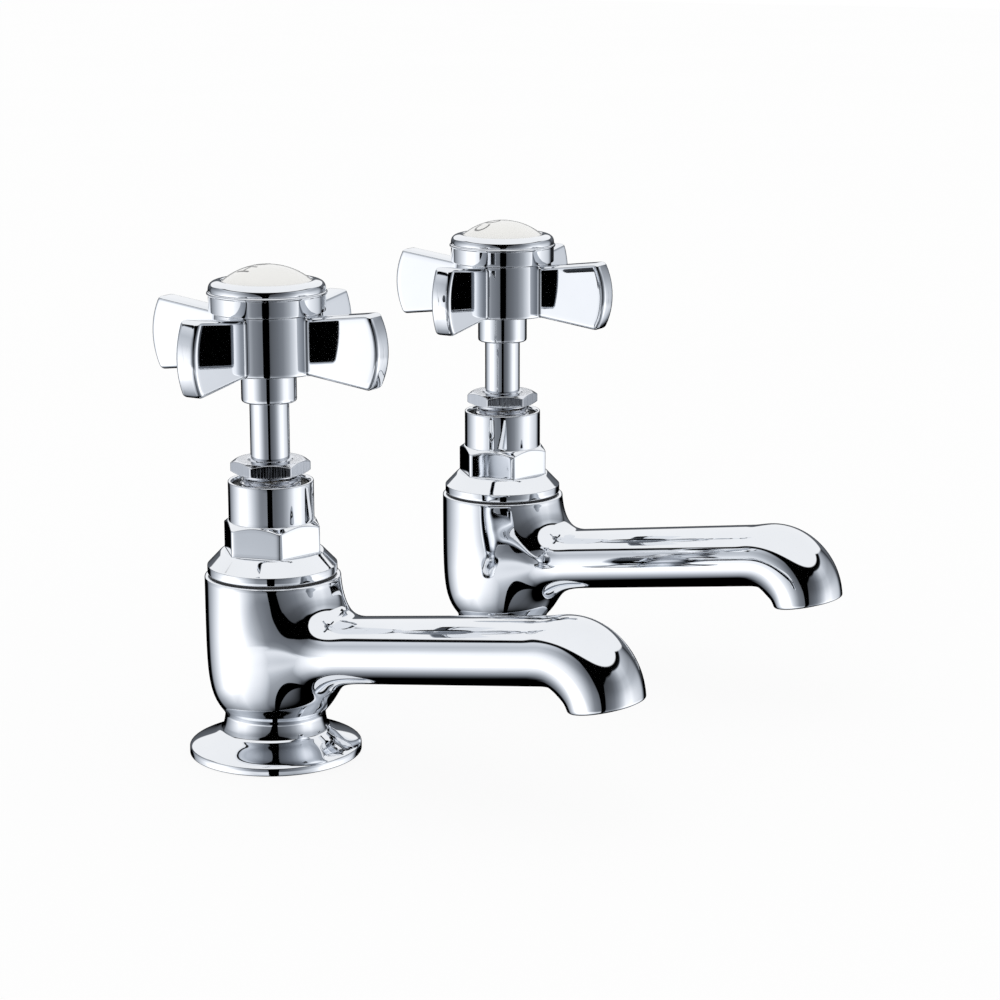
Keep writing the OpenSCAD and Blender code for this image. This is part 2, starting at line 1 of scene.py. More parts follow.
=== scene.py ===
import math
import bmesh
import bpy
import numpy as np
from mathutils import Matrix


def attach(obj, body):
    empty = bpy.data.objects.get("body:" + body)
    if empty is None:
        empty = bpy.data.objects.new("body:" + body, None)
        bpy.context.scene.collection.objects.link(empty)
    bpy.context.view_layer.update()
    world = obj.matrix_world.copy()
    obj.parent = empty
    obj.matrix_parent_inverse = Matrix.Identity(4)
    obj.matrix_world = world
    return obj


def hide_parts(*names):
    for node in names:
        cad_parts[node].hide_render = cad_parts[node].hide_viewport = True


# A pair of long nose pillar taps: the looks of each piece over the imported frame.
# Sizes are in millimetres, and each tap is made about its own upright axis, with the deck's top at z = 0
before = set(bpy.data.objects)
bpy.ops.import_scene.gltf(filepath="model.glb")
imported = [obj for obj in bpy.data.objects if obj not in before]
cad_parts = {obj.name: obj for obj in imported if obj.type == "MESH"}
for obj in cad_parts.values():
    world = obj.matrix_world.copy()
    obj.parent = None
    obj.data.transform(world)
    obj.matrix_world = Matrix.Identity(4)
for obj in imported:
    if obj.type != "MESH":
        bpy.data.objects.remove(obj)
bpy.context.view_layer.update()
taps = {"hot": -65.0, "cold": 65.0}  # place along Y
pole = 0.5  # radius of the last loop round the middle of a closed end
print("stage: frame loaded")


# Rows of (radius, height) from keys of (radius, height, rounding), each a number or one number a column.
# A rounded corner is (1-t)^2 a + 2t(1-t) corner + t^2 b, with a and b its rounding away along either side
def softPath(keys, columns=1, step=1.2, closed=False, corner=5):
    mostOfSide = 0.45  # share of a side that a rounding may take
    spots = np.stack([np.stack([np.broadcast_to(k[0], columns), np.broadcast_to(k[1], columns)], -1)
                      for k in keys]).astype(float)
    starts, ends = spots.copy(), spots.copy()
    count = len(keys)
    for i, key in enumerate(keys):
        if key[2] and (closed or 0 < i < count - 1):
            for side, other in ((starts, spots[i - 1]), (ends, spots[(i + 1) % count])):
                gap = other - spots[i]
                length = np.maximum(np.linalg.norm(gap, axis=-1, keepdims=True), 1e-6)
                side[i] = spots[i] + gap * np.minimum(key[2] / length, mostOfSide)
    rows = []
    for i, key in enumerate(keys):
        for t in np.linspace(0, 1, corner) if key[2] else [0.5]:
            rows.append((1 - t) ** 2 * starts[i] + 2 * t * (1 - t) * spots[i] + t * t * ends[i])
        if closed or i < count - 1:
            after = starts[(i + 1) % count]
            steps = int(math.ceil(np.linalg.norm(after - ends[i], axis=-1).max() / step))
            for t in np.arange(1, steps) / max(steps, 1):
                rows.append(ends[i] * (1 - t) + after * t)
    return np.array(rows)


# A cubic curve (1-t)^3 p + 3t(1-t)^2 a + 3t^2(1-t) b + t^3 q as keys without rounding
def curveKeys(p, a, b, q, count):
    t = np.linspace(0, 1, count)[:, None]
    spots = ((1 - t) ** 3 * np.array(p) + 3 * t * (1 - t) ** 2 * np.array(a)
             + 3 * t * t * (1 - t) * np.array(b) + t ** 3 * np.array(q))
    return [(r, z, 0) for r, z in spots.tolist()]


# Turned surface: x = r cos a, y = r sin a, z = height
def turned(path, angles):
    r, z = path[..., 0], path[..., 1]
    return np.stack([r * np.cos(angles), r * np.sin(angles), z + 0 * angles], -1)


# Angles evenly round a circle
def roundAngles(columns):
    return np.linspace(0, 2 * math.pi, columns, endpoint=False)


# Angles round a hexagon, closer together at its corners: each flat's angle is 30 degrees times sin(90 u)
def hexAngles(turn, perFlat=34):
    u = np.linspace(-1, 1, perFlat, endpoint=False)
    part = 30 * np.sin(np.radians(90 * u))
    return np.radians(np.concatenate([turn + 30 + 60 * k + part for k in range(6)]))


# Radius of a hexagon with softened corners: half its width over flats, times the sum over the flats of
# cos(a - flat)^n, to the power -1/n
def hexRadius(angles, turn, flats, n=90):
    total = sum(np.maximum(np.cos(angles - math.radians(turn + 30 + 60 * k)), 0) ** n for k in range(6))
    return flats / 2 * total ** (-1 / n)


# Radius of a thread: crest less depth times (1.3 (0.5 - saw) + 0.5)^1.2, kept between 0 and 1, where saw is
# |2 part - 1| and part is what is left of height / pitch - turn
def threadRadius(angles, z, crest, depth, pitch):
    steepness, roundness = 1.3, 1.2
    saw = np.abs(2 * ((z / pitch - angles / (2 * math.pi)) % 1) - 1)
    return crest - depth * np.clip(steepness * (0.5 - saw) + 0.5, 0, 1) ** roundness


# Vertices and faces of rows of closed loops, with a fan at each end or the last row joined to the first
def shell(points, closed=False):
    rows, columns = points.shape[:2]
    i = np.arange(rows if closed else rows - 1)[:, None]
    j = np.arange(columns)[None]
    k, n = (j + 1) % columns, (i + 1) % rows
    faces = np.stack([i * columns + j, i * columns + k, n * columns + k, n * columns + j], -1)
    faces = faces.reshape(-1, 4).tolist()
    spots = points.reshape(-1, 3)
    if not closed:
        near, far = rows * columns, rows * columns + 1
        spots = np.vstack([spots, points[0].mean(0), points[-1].mean(0)])
        last = (rows - 1) * columns
        pairs = list(zip(j[0].tolist(), k[0].tolist()))
        faces += [[near, b, a] for a, b in pairs] + [[far, last + a, last + b] for a, b in pairs]
    return spots, faces


# The turned surface of keys with as many columns, as a ring that closes on itself or with closed ends
def turnedShell(keys, angles, step, closed=True):
    return shell(turned(softPath(keys, len(angles), step, closed), angles), closed)


# Several shells as one
def joined(*parts):
    spots, faces = np.zeros((0, 3)), []
    for points, quads in parts:
        faces += [[v + len(spots) for v in quad] for quad in quads]
        spots = np.vstack([spots, points])
    return spots, faces


def addPiece(tap, label, mesh, look, body, nodes, sharp=38, bare=None):
    spots, faces = mesh
    data = bpy.data.meshes.new(tap + label)
    data.from_pydata(((spots + [0, taps[tap], 0]) / 1000).tolist(), [], faces)
    data.materials.append(look)
    data.shade_smooth()
    data.set_sharp_from_angle(angle=math.radians(sharp))
    if bare is not None:
        data.attributes.new("bare", "FLOAT", "POINT").data.foreach_set("value", bare.astype(np.float32))
    piece = bpy.data.objects.new(tap + label, data)
    bpy.context.scene.collection.objects.link(piece)
    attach(piece, body)
    if nodes:
        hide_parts(*[tap + "_" + n for n in nodes])
    return piece


# Adds and links nodes in a new material, or in the world
class Nodes:
    def __init__(self, name, owner=None):
        self.owner = owner or bpy.data.materials.new(name)
        self.owner.use_nodes = True
        self.tree = self.owner.node_tree
        self.tree.nodes.clear()

    def add(self, kind, links=None, **values):
        node = self.tree.nodes.new(kind)
        for key, value in values.items():
            setattr(node, key, value)
        for key, value in (links or {}).items():
            if isinstance(value, bpy.types.NodeSocket):
                self.tree.links.new(value, node.inputs[key])
            else:
                node.inputs[key].default_value = value
        return node

    def ramp(self, factor, stops):
        node = self.add("ShaderNodeValToRGB", {0: factor})
        elements = node.color_ramp.elements
        while len(elements) < len(stops):
            elements.new(0.5)
        for element, (place, colour) in zip(elements, stops):
            element.position = place
            element.color = (*colour, 1) if isinstance(colour, tuple) else (colour, colour, colour, 1)
        return node.outputs[0]

    def math(self, kind, *values, clamp=False):
        return self.add("ShaderNodeMath", dict(enumerate(values)), operation=kind, use_clamp=clamp).outputs[0]

    def mix(self, factor, a, b):
        return self.add("ShaderNodeMix", {0: factor, 6: a, 7: b}, data_type="RGBA").outputs[2]

    def mixShader(self, factor, a, b):
        return self.add("ShaderNodeMixShader", {0: factor, 1: a, 2: b}).outputs[0]

    def noise(self, scale, detail=3.0, rough=0.5, stretch=None):
        place = self.add("ShaderNodeTexCoord").outputs["Object"]
        if stretch:
            place = self.add("ShaderNodeMapping", {"Vector": place, "Scale": stretch}).outputs[0]
        return self.add("ShaderNodeTexNoise", {"Vector": place, "Scale": scale, "Detail": detail,
                                               "Roughness": rough}).outputs["Fac"]

    def bump(self, height):
        return self.add("ShaderNodeBump", {"Strength": 1.0, "Distance": 0.0001, "Height": height}).outputs[0]

    def surface(self, links):
        shader = self.add("ShaderNodeBsdfPrincipled", links)
        self.add("ShaderNodeOutputMaterial", {"Surface": shader.outputs[0]})
        return self.owner


# Materials, with noise scales per metre
metalGrain = dict(
    cloud=55, fine=900, ripple=70, scratch=2600, cloudShade=0.965, roughSpread=1.9,
    brass=(0.72, 0.55, 0.28), brassShade=0.8, brassRough=(0.24, 0.36), fineHeight=0.004)


# Metal with cloudy polish, faint wiping marks and, where bare is 1, unplated brass
def makeMetal(name, plate, rough, ripple, scratch=0.0, scratchAlong=(1, 1, 0.02)):
    g = metalGrain
    n = Nodes(name)
    cloud = n.noise(g["cloud"], 4)
    fine = n.noise(g["fine"], 3, 0.6)
    bare = n.add("ShaderNodeAttribute", attribute_name="bare").outputs["Fac"]
    tone = n.ramp(cloud, [(0.3, tuple(c * g["cloudShade"] for c in plate)), (0.7, plate)])
    brassTone = n.ramp(fine, [(0.3, tuple(c * g["brassShade"] for c in g["brass"])), (0.7, g["brass"])])
    polish = n.ramp(cloud, [(0.35, rough), (0.75, rough * g["roughSpread"])])
    dull = n.ramp(fine, [(0.3, g["brassRough"][0]), (0.7, g["brassRough"][1])])
    height = n.math("ADD", n.math("MULTIPLY", n.noise(g["ripple"], 2), ripple),
                    n.math("MULTIPLY", fine, g["fineHeight"]))
    if scratch:
        lines = n.noise(g["scratch"], 2, 0.6, scratchAlong)
        height = n.math("ADD", height, n.math("MULTIPLY", lines, scratch))
    return n.surface({"Base Color": n.mix(bare, tone, brassTone), "Roughness": n.mix(bare, polish, dull),
                      "Metallic": 1.0, "Normal": n.bump(height)})


# A material with two tones of cloud, a roughness range and grain
def makePlain(name, dark, pale, rough, grain, scale=400, coat=0.0):
    n = Nodes(name)
    cloud = n.noise(scale, 4)
    fine = n.noise(scale * 4, 3, 0.6)
    return n.surface({"Base Color": n.ramp(cloud, [(0.3, dark), (0.7, pale)]),
                      "Roughness": n.ramp(fine, [(0.3, rough * 0.8), (0.7, rough * 1.2)]),
                      "Coat Weight": coat, "Coat Roughness": 0.04,
                      "Normal": n.bump(n.math("MULTIPLY", fine, grain))})


turnedAlong = (0.05, 0.05, 1)  # scratches that run round the upright axis
chromeLook = makeMetal("polishedChrome", plate=(0.87, 0.89, 0.92), rough=0.022, ripple=0.10)
machinedLook = makeMetal("machinedChrome", plate=(0.80, 0.82, 0.86), rough=0.06, ripple=0.05, scratch=0.30)
brassLook = makeMetal("turnedBrass", plate=(0.76, 0.60, 0.31), rough=0.20, ripple=0.10, scratch=0.10,
                      scratchAlong=turnedAlong)
# Brass darkened to about a third of its colour: painted shade for the headgear, which is seen only deep in the
# cover's mouth
paintedShadeBrassLook = makeMetal("brassPaintedShade", plate=(0.26, 0.22, 0.15), rough=0.16, ripple=0.10, scratch=0.10,
                          scratchAlong=turnedAlong)
rubberLook = makePlain("blackRubber", dark=(0.018, 0.018, 0.020), pale=(0.035, 0.035, 0.038), rough=0.6,
                       grain=0.6)
packingLook = makePlain("graphitePacking", dark=(0.05, 0.05, 0.055), pale=(0.11, 0.11, 0.12), rough=0.45,
                        grain=1.2, scale=700)
fibreLook = makePlain("redFibre", dark=(0.30, 0.075, 0.05), pale=(0.44, 0.13, 0.09), rough=0.55, grain=0.8,
                      scale=600)
ceramicLook = makePlain("glazedCeramic", dark=(0.83, 0.825, 0.80), pale=(0.865, 0.86, 0.835), rough=0.16,
                        grain=0.03, scale=90, coat=0.6)
letterLook = makePlain("letterEnamel", dark=(0.13, 0.13, 0.13), pale=(0.18, 0.18, 0.18), rough=0.3,
                       grain=0.05)
print("stage: materials")

# The body: foot, neck and round body, spout and mouth, how they flow together, and the mesh's own rows
bodySizes = dict(
    flange=26.0, bedInner=16.95, bedOuter=23.05, bedDepth=1.55, footEdge=0.5,
    footCurve=((26, 2.2), (25.95, 3.3), (21.3, 4.3), (17.9, 6.5)),
    footTop=((16.3, 7.5, 1.1), (15.84, 8.6, 0)), neck=14.9, neckFoot=8.4, neckFall=2.4, waist=1.3,
    bulb=20.3, bulbLoss=4.58, bulbFoot=13.8, bulbFall=5.26, brim=54.2, top=55.4, topEdge=1.0,
    spoutHeight=31.5, rise=8.5, width=24.5, depth=19.3, squareness=2.3, reach=115.3, bend=14.0,
    bendDepth=23.1, bendDrop=1.16, bendLead=1.2, bendEase=3.0, nozzle=2.2, tilt=12.0, mouthWidth=24.4,
    mouthDepth=21.3, squareLoss=0.25, lip=0.6, plated=((0, 9.3), (0, 9.0), (0.12, 8.75)), mouthBore=8.6,
    mouthFloor=8.0, waterway=6.6, blend=15.0, lessAbove=8.0, moreBelow=4.0, power=3.0, fade=12.0,
    gusset=0.21, gussetReach=12.0, gussetEase=4.0, gussetLean=0.1, columns=260, neckRows=(8.8, 18.8, 0.25),
    bulbRows=(19.0, 53.9, 0.55), frontHalfTurn=89.0, holeHalfTurn=46.5, holeLow=20.6, holeHigh=48.4,
    ringAt=37.5, collarRows=32, evenings=12, fineFrom=8.0, coarseStep=1.1, fineStep=0.45)


# Radius of the neck, neck + exp((neckFoot - z) / neckFall), and of the round body,
# bulb - bulbLoss exp((bulbFoot - z) / bulbFall), whichever is larger. The corner between them is filled by
# (waist - |difference|)^2 / 4 waist where they are less than waist apart
def bulbAt(z):
    s = bodySizes
    neck = s["neck"] + np.exp((s["neckFoot"] - z) / s["neckFall"])
    bulb = s["bulb"] - s["bulbLoss"] * np.exp((s["bulbFoot"] - z) / s["bulbFall"])
    near = np.maximum(s["waist"] - np.abs(neck - bulb), 0)
    return np.maximum(neck, bulb) + near ** 2 / (4 * s["waist"])


# Distance to body and spout, flowing together: min(d1, d2) - h^p k / 2p with h = max(k - |d1 - d2|, 0) / k.
# d1 = (r - bulb(z)) / sqrt(1 + slope^2), and d2 = (q - 1) / |grad q| with q = (|y/A|^n + |v/B|^n)^(1/n),
# where v is the height over the spout's axis. With up = 1 straight above that axis and -1 below it,
# k = blend - lessAbove up^2 above and blend + moreBelow up^2 below, and p = power - up^2 above. Above the
# spout a gusset takes its share of near = gussetReach - d2 from d1, with near eased as (near + e)^2 / 4e
# below e, times 3o^2 - 2o^3 with o = (up + lean) / (1 - lean). Both fade in as 3f^2 - 2f^3 with f = x / fade
def blended(spots):
    s, x, y, z = bodySizes, spots[..., 0], spots[..., 1], spots[..., 2]
    step = 0.6
    slope = (bulbAt(z + step) - bulbAt(z - step)) / (2 * step)
    d1 = (np.hypot(x, y) - bulbAt(z)) / np.sqrt(1 + slope * slope)
    rise, n = math.radians(s["rise"]), s["squareness"]
    v = -x * math.sin(rise) + (z - s["spoutHeight"]) * math.cos(rise)
    halfWidth, halfDepth = s["width"] / 2, s["depth"] / 2
    q = (np.abs(y / halfWidth) ** n + np.abs(v / halfDepth) ** n) ** (1 / n) + 1e-9
    grad = q ** (1 - n) * np.sqrt((np.abs(y / halfWidth) ** (n - 1) / halfWidth) ** 2
                                  + (np.abs(v / halfDepth) ** (n - 1) / halfDepth) ** 2)
    d2 = (q - 1) / np.maximum(grad, 1e-6)
    up = v / np.sqrt(v * v + y * y + 1)
    k = s["blend"] - np.where(up > 0, s["lessAbove"], -s["moreBelow"]) * up * up
    power = s["power"] - np.where(up > 0, up * up, 0)
    forward = np.clip(x / s["fade"], 0, 1)
    fade = forward * forward * (3 - 2 * forward)
    near, ease = s["gussetReach"] - d2, s["gussetEase"]
    over = np.clip((up + s["gussetLean"]) / (1 - s["gussetLean"]), 0, 1)
    eased = np.where(near > ease, near, np.maximum(near + ease, 0) ** 2 / (4 * ease))
    d1 = d1 - s["gusset"] * eased * over * over * (3 - 2 * over) * fade
    h = np.maximum(k - np.abs(d1 - d2), 0) / k
    return np.minimum(d1, d2) - h ** power * k / (2 * power) * fade


# Radius at which a ray from the axis leaves the blended surface, found by halving
def blendedRadius(angles, z):
    searchWidth, halvings = 24, 36
    low = bulbAt(z) - 0.02 + 0 * angles
    high = low + searchWidth
    for i in range(halvings):
        r = (low + high) / 2
        inside = blended(np.stack([r * np.cos(angles), r * np.sin(angles), z + 0 * angles], -1)) < 0
        low, high = np.where(inside, r, low), np.where(inside, high, r)
    return (low + high) / 2


# Moves points on to the blended surface: p - f grad f / |grad f|^2, repeated
def onBlend(spots, rounds=8):
    e = 0.02
    for i in range(rounds):
        grad = np.stack([(blended(spots + e * axis) - blended(spots - e * axis)) / (2 * e)
                         for axis in np.eye(3)], -1)
        size = np.maximum((grad * grad).sum(-1, keepdims=True), 0.05)
        spots = spots - blended(spots)[..., None] * grad / size
    return spots


# The spout's centre line: its angle falls evenly round the bend and is averaged over 80 steps of 0.05 mm, and
# its place is the running sum of the angle's cosine and sine
def centreLine():
    s = bodySizes
    step, width = 0.05, 80
    rise, tilt = math.radians(s["rise"]), math.radians(s["tilt"])
    bendFrom = s["reach"] - s["bend"] * (math.sin(rise) + math.cos(tilt)) - s["nozzle"] * math.sin(tilt)
    run = bendFrom / math.cos(rise)
    down = tilt - math.pi / 2
    bendLength = s["bend"] * (rise - down)
    total = run + bendLength + s["nozzle"]
    along = np.arange(0, total + step / 2, step)
    angle = rise - np.clip((along - run) / bendLength, 0, 1) * (rise - down)
    padded = np.concatenate([np.full(width, angle[0]), angle, np.full(width, angle[-1])])
    angle = np.convolve(padded, np.ones(width) / width, "same")[width:-width]
    middle = (angle[1:] + angle[:-1]) / 2
    x = np.concatenate([[0], np.cumsum(np.cos(middle)) * step])
    z = s["spoutHeight"] + np.concatenate([[0], np.cumsum(np.sin(middle)) * step])
    return along, x, z, angle, run, total


lineAlong, lineX, lineZ, lineAngle, runLength, spoutLength = centreLine()


# How far the bend has gone at a length, from 0 at its start to 1 at the mouth: u / whole, where u is the
# length past a point that lies bendLead before the bend, eased as (u + e)^2 / 4e below e
def bendShare(length):
    lead, ease = bodySizes["bendLead"], bodySizes["bendEase"]
    u, whole = length - runLength + lead, spoutLength - runLength + lead
    return min(1, (u if u > ease else max(0, u + ease) ** 2 / (4 * ease)) / whole)


# Half the depth (1-q)^2 a + 2q(1-q) m + q^2 b and half the width a + (b - a) q, from the bend's start to the
# mouth, with m set so that the depth halfway is bendDepth
def halfSizes(q):
    s = bodySizes
    m = 2 * s["bendDepth"] - (s["depth"] + s["mouthDepth"]) / 2
    depth = s["depth"] * (1 - q) ** 2 + 2 * q * (1 - q) * m + s["mouthDepth"] * q * q
    return depth / 2, (s["width"] + (s["mouthWidth"] - s["width"]) * q) / 2


# A section: centre + up * B sign(sin t) |sin t|^(2/n) + side * A sign(cos t) |cos t|^(2/n), where n falls by
# squareLoss q and the whole lies bendDrop q(1-q) lower. Where circle is given, each point keeps its
# direction and lies that far from the centre
def section(length, t, inset=0.0, circle=None):
    q = bendShare(length)
    x, z = np.interp(length, lineAlong, lineX), np.interp(length, lineAlong, lineZ)
    angle = np.interp(length, lineAlong, lineAngle)
    drop = bodySizes["bendDrop"] * q * (1 - q)
    x, z = x + math.sin(angle) * drop, z - math.cos(angle) * drop
    halfDepth, halfWidth = halfSizes(q)
    power = 2 / (bodySizes["squareness"] - bodySizes["squareLoss"] * q)
    v = (halfDepth - inset) * np.sign(np.sin(t)) * np.abs(np.sin(t)) ** power
    w = (halfWidth - inset) * np.sign(np.cos(t)) * np.abs(np.cos(t)) ** power
    if circle is not None:
        size = np.hypot(v, w)
        v, w = v / size * circle, w / size * circle
    return np.stack([x - math.sin(angle) * v, w, z + math.cos(angle) * v], -1)


# The mouth's own section as a circle, slid straight back into the spout
def mouthSection(depth, t, circle):
    angle = float(lineAngle[-1])
    return section(spoutLength, t, circle=circle) - depth * np.array([math.cos(angle), 0, math.sin(angle)])


# The body's wall as rows of (radius, height) a column: the foot's profile, then the blended radius in front
# and the round body's radius behind, then the closed top
def wallRows(angles):
    s = bodySizes
    foot = softPath([(pole, 0, 0), (s["bedInner"], 0, 0.1), (s["bedInner"], s["bedDepth"], 0),
                     (s["bedOuter"], s["bedDepth"], 0), (s["bedOuter"], 0, 0.1),
                     (s["flange"], 0, s["footEdge"])]
                    + curveKeys(*s["footCurve"], 20) + list(s["footTop"]), step=1.0, corner=9)
    heights = np.concatenate([np.arange(*s["neckRows"]), np.arange(*s["bulbRows"])])
    front = np.abs(angles) < math.radians(s["frontHalfTurn"])
    brim = np.full(len(angles), s["bulb"])
    brim[front] = blendedRadius(angles[front], s["brim"])
    top = softPath([(brim, s["brim"], 0), (brim, s["top"], s["topEdge"]), (pole, s["top"], 0)],
                   len(angles), 4.0)
    wall = np.stack([bulbAt(heights), heights], -1)[:, None]
    path = np.concatenate([np.broadcast_to(rows, (len(rows), len(angles), 2)) for rows in (foot, wall, top)])
    first = len(foot)
    path[first:first + len(wall), front, 0] = blendedRadius(angles[front][None], heights[:, None])
    return path, first, heights


# The spout's hole: its rim as one loop of vertices, anticlockwise seen from the mouth, and its faces
def spoutHole(first, heights):
    s, n = bodySizes, bodySizes["columns"]
    low = first + int(np.searchsorted(heights, s["holeLow"]))
    high = first + int(np.searchsorted(heights, s["holeHigh"]))
    half = int(round(s["holeHalfTurn"] / 360 * n))
    left, right = n // 2 - half, n // 2 + half
    rim = ([(low, c) for c in range(left, right)] + [(r, right) for r in range(low, high)]
           + [(high, c) for c in range(right, left, -1)] + [(r, left) for r in range(high, low, -1)])
    return [r * n + c for r, c in rim], set(r * n + c for r in range(low, high) for c in range(left, right))


# The turn on the spout's section of each point of the rim: atan2(|v/B|^(n/2), |w/A|^(n/2)) with their signs,
# mixed with turns that are spread evenly
def ringTurns(loop):
    s, own = bodySizes, 0.6
    rise, power = math.radians(s["rise"]), s["squareness"] / 2
    v = (-loop[:, 0] * math.sin(rise) + (loop[:, 2] - s["spoutHeight"]) * math.cos(rise)) / (s["depth"] / 2)
    w = loop[:, 1] / (s["width"] / 2)
    t = np.unwrap(np.arctan2(np.sign(v) * np.abs(v) ** power, np.sign(w) * np.abs(w) ** power))
    even = t[0] + np.linspace(0, 2 * math.pi, len(t), endpoint=False)
    return own * t + (1 - own) * (even + (t - even).mean())


# The spout's rows: sections along the centre line, a rounded lip, the mouth's bore and the waterway behind
# it. The count says how many of them are plated, up to the bore
def spoutRows(t):
    s, lip = bodySizes, bodySizes["lip"]
    fineFrom = runLength - s["fineFrom"]
    stations = np.concatenate([np.arange(s["ringAt"], fineFrom, s["coarseStep"]),
                               np.arange(fineFrom, spoutLength - 0.8, s["fineStep"]), [spoutLength - lip]])
    rows = [section(length, t) for length in stations]
    rows += [section(spoutLength - lip + lip * math.sin(a), t, lip * (1 - math.cos(a)))
             for a in np.radians([20, 40, 60, 78, 90])]
    rows += [mouthSection(depth, t, r) for depth, r in s["plated"]]
    count = len(rows)
    rows += [mouthSection(depth, t, s["mouthBore"]) for depth in (0.4, 2, 4, 6, s["mouthFloor"] - 0.1)]
    rows += [mouthSection(s["mouthFloor"], t, r) for r in (s["mouthBore"] - 0.1, s["waterway"] + 0.1)]
    rows += [section(spoutLength - depth, t, circle=s["waterway"])
             for depth in (s["mouthFloor"] + 0.2, *range(10, 35, 3))]
    return np.array(rows), count


# Rows between the rim and the spout's first ring: straight at first and put on the blended surface, then each
# point is mixed with the mean of its four neighbours and put back, over and over
def collarRows(loop, ring):
    share = np.linspace(0, 1, bodySizes["collarRows"] + 2)[1:-1, None, None]
    collar = onBlend(loop * (1 - share) + ring * share)
    for i in range(bodySizes["evenings"]):
        whole = np.concatenate([loop[None], collar, ring[None]])
        mean = (whole[:-2] + whole[2:] + np.roll(whole, 1, 1)[1:-1] + np.roll(whole, -1, 1)[1:-1]) / 4
        collar = onBlend(0.5 * collar + 0.5 * mean, 3)
    return collar


# Wall, collar and spout sewn together, without vertices that no face uses, and 1 for each of bare brass
def bodyMesh():
    n = bodySizes["columns"]
    angles = (np.arange(n) - n // 2) * 2 * math.pi / n
    path, first, heights = wallRows(angles)
    wall, faces = shell(turned(path, angles))
    rim, hole = spoutHole(first, heights)
    faces = [f for i, f in enumerate(faces) if i not in hole]
    loop = wall[rim]
    tube, plated = spoutRows(ringTurns(loop))
    collar = collarRows(loop, tube[0])
    points, quads = shell(np.concatenate([collar, tube]))
    count, columns = len(wall), len(loop)
    fanCentre = (len(collar) + len(tube)) * columns  # of the fan over the collar's open start, which goes
    faces += [[v + count for v in q] for q in quads if fanCentre not in q]
    faces += [[rim[j], rim[(j + 1) % columns], count + (j + 1) % columns, count + j] for j in range(columns)]
    spots = np.vstack([wall, points])
    bare = np.zeros(len(spots))
    bare[count + (len(collar) + plated) * columns:] = 1
    used = np.zeros(len(spots), bool)
    used[[v for f in faces for v in f]] = True
    number = np.cumsum(used) - 1
    return spots[used], [[int(number[v]) for v in f] for f in faces], bare[used]


# The tail below it, with a pipe thread, two relief grooves, and a bore that ends blind below the body's foot
tailSizes = dict(
    crest=13.2, threadDepth=1.12, pitch=1.814, root=12.08, threadRows=(-48.9, -1.2), runOut=1.6,
    runOutEnds=(-49.4, -0.8), relief=12.42, grooves=((-21.0, -18.0), (-33.0, -31.5)), bore=8.0,
    boreEnd=-0.2, foot=-50.0, wall=12.1, top=1.2, columns=120)


# Thread rows as threadRadius, drawn in to the root where they are less than runOut from the thread's ends
def tailMesh():
    s = tailSizes
    angles = roundAngles(s["columns"])
    z = np.arange(*s["threadRows"], s["pitch"] / 8)
    ease = np.clip(np.minimum(z - s["runOutEnds"][0], s["runOutEnds"][1] - z) / s["runOut"], 0, 1)
    groove = np.any([(z > low) & (z < high) for low, high in s["grooves"]], 0)
    rows = []
    for height, amount, cut in zip(z, ease, groove):
        r = threadRadius(angles, height, s["crest"], s["threadDepth"], s["pitch"])
        r = s["root"] + (r - s["root"]) * amount
        rows.append((np.minimum(r, s["relief"]) if cut else r, height, 0))
    keys = ([(pole, s["boreEnd"], 0), (s["bore"], s["boreEnd"], 0.2), (s["bore"], s["foot"], 0.5),
             (s["wall"], s["foot"], 0.4)] + rows
            + [(s["wall"], -0.9, 0), (s["wall"], s["top"], 0), (pole, s["top"] + 0.05, 0)])
    return turnedShell(keys, angles, 3.0, False)


spots, faces, bare = bodyMesh()
tailShell = tailMesh()
for tap in taps:
    addPiece(tap, "Body", (spots, faces), chromeLook, "root", ["body"], 30, bare)
    tail = addPiece(tap, "Tail", tailShell, brassLook, "root", [], 30)
    tail.visible_glossy = False
print("stage: bodies", len(spots), "points, mouth at", lineX[-1].round(2), lineZ[-1].round(2))

# Easy-clean cover
coverSizes = dict(
    flats=26.6, turn=16.0, round=12.75, hexTop=72.0, top=83.95, band=19.4, foot=56.0, bandTop=58.5,
    skirtSlope=1.05, skirtFrom=19.38, shelf=62.8, shelfEase=0.4, hexEdge=13.05, hexSlope=0.66, mouth=11.9,
    bore=11.28, boreFoot=62.0, inside=18.0, insideFoot=57.6, insideTop=(15.9, 60.8))


# Skirt's height over radius: the lower of bandTop + skirtSlope (skirtFrom - r) and shelf, with the corner
# between them rounded by (shelfEase - |difference|)^2 / 4 shelfEase
def skirtHeight(r):
    s = coverSizes
    line = s["bandTop"] + s["skirtSlope"] * (s["skirtFrom"] - r)
    near = np.maximum(s["shelfEase"] - np.abs(line - s["shelf"]), 0)
    return np.minimum(line, s["shelf"]) - near ** 2 / (4 * s["shelfEase"])


# The cover's profile turned: its radius goes from the band to the hexagon as band + (flat - band) t
def coverMesh():
    s = coverSizes
    angles = hexAngles(s["turn"])
    flat = hexRadius(angles, s["turn"], s["flats"], 49)
    keys = [(s["inside"], s["foot"], 0.2), (s["band"], s["foot"], 0.35), (s["band"], s["bandTop"], 0.12)]
    for t in np.linspace(0.04, 0.93, 16):
        r = s["band"] + (flat - s["band"]) * t
        keys.append((r, skirtHeight(r), 0))
    keys += [(flat, skirtHeight(flat), 0.45),
             (flat, s["hexTop"] - 0.15 - (flat - s["hexEdge"]) * s["hexSlope"], 0.28),
             (s["hexEdge"], s["hexTop"], 0.18), (s["round"], s["hexTop"], 0.12), (s["round"], s["top"], 0.4),
             (s["mouth"], s["top"], 0.3), (s["bore"], s["top"] - 0.75, 0.2), (s["bore"], s["boreFoot"], 0),
             (*s["insideTop"], 0), (s["inside"], s["insideFoot"], 0)]
    return turnedShell(keys, angles, 0.9)


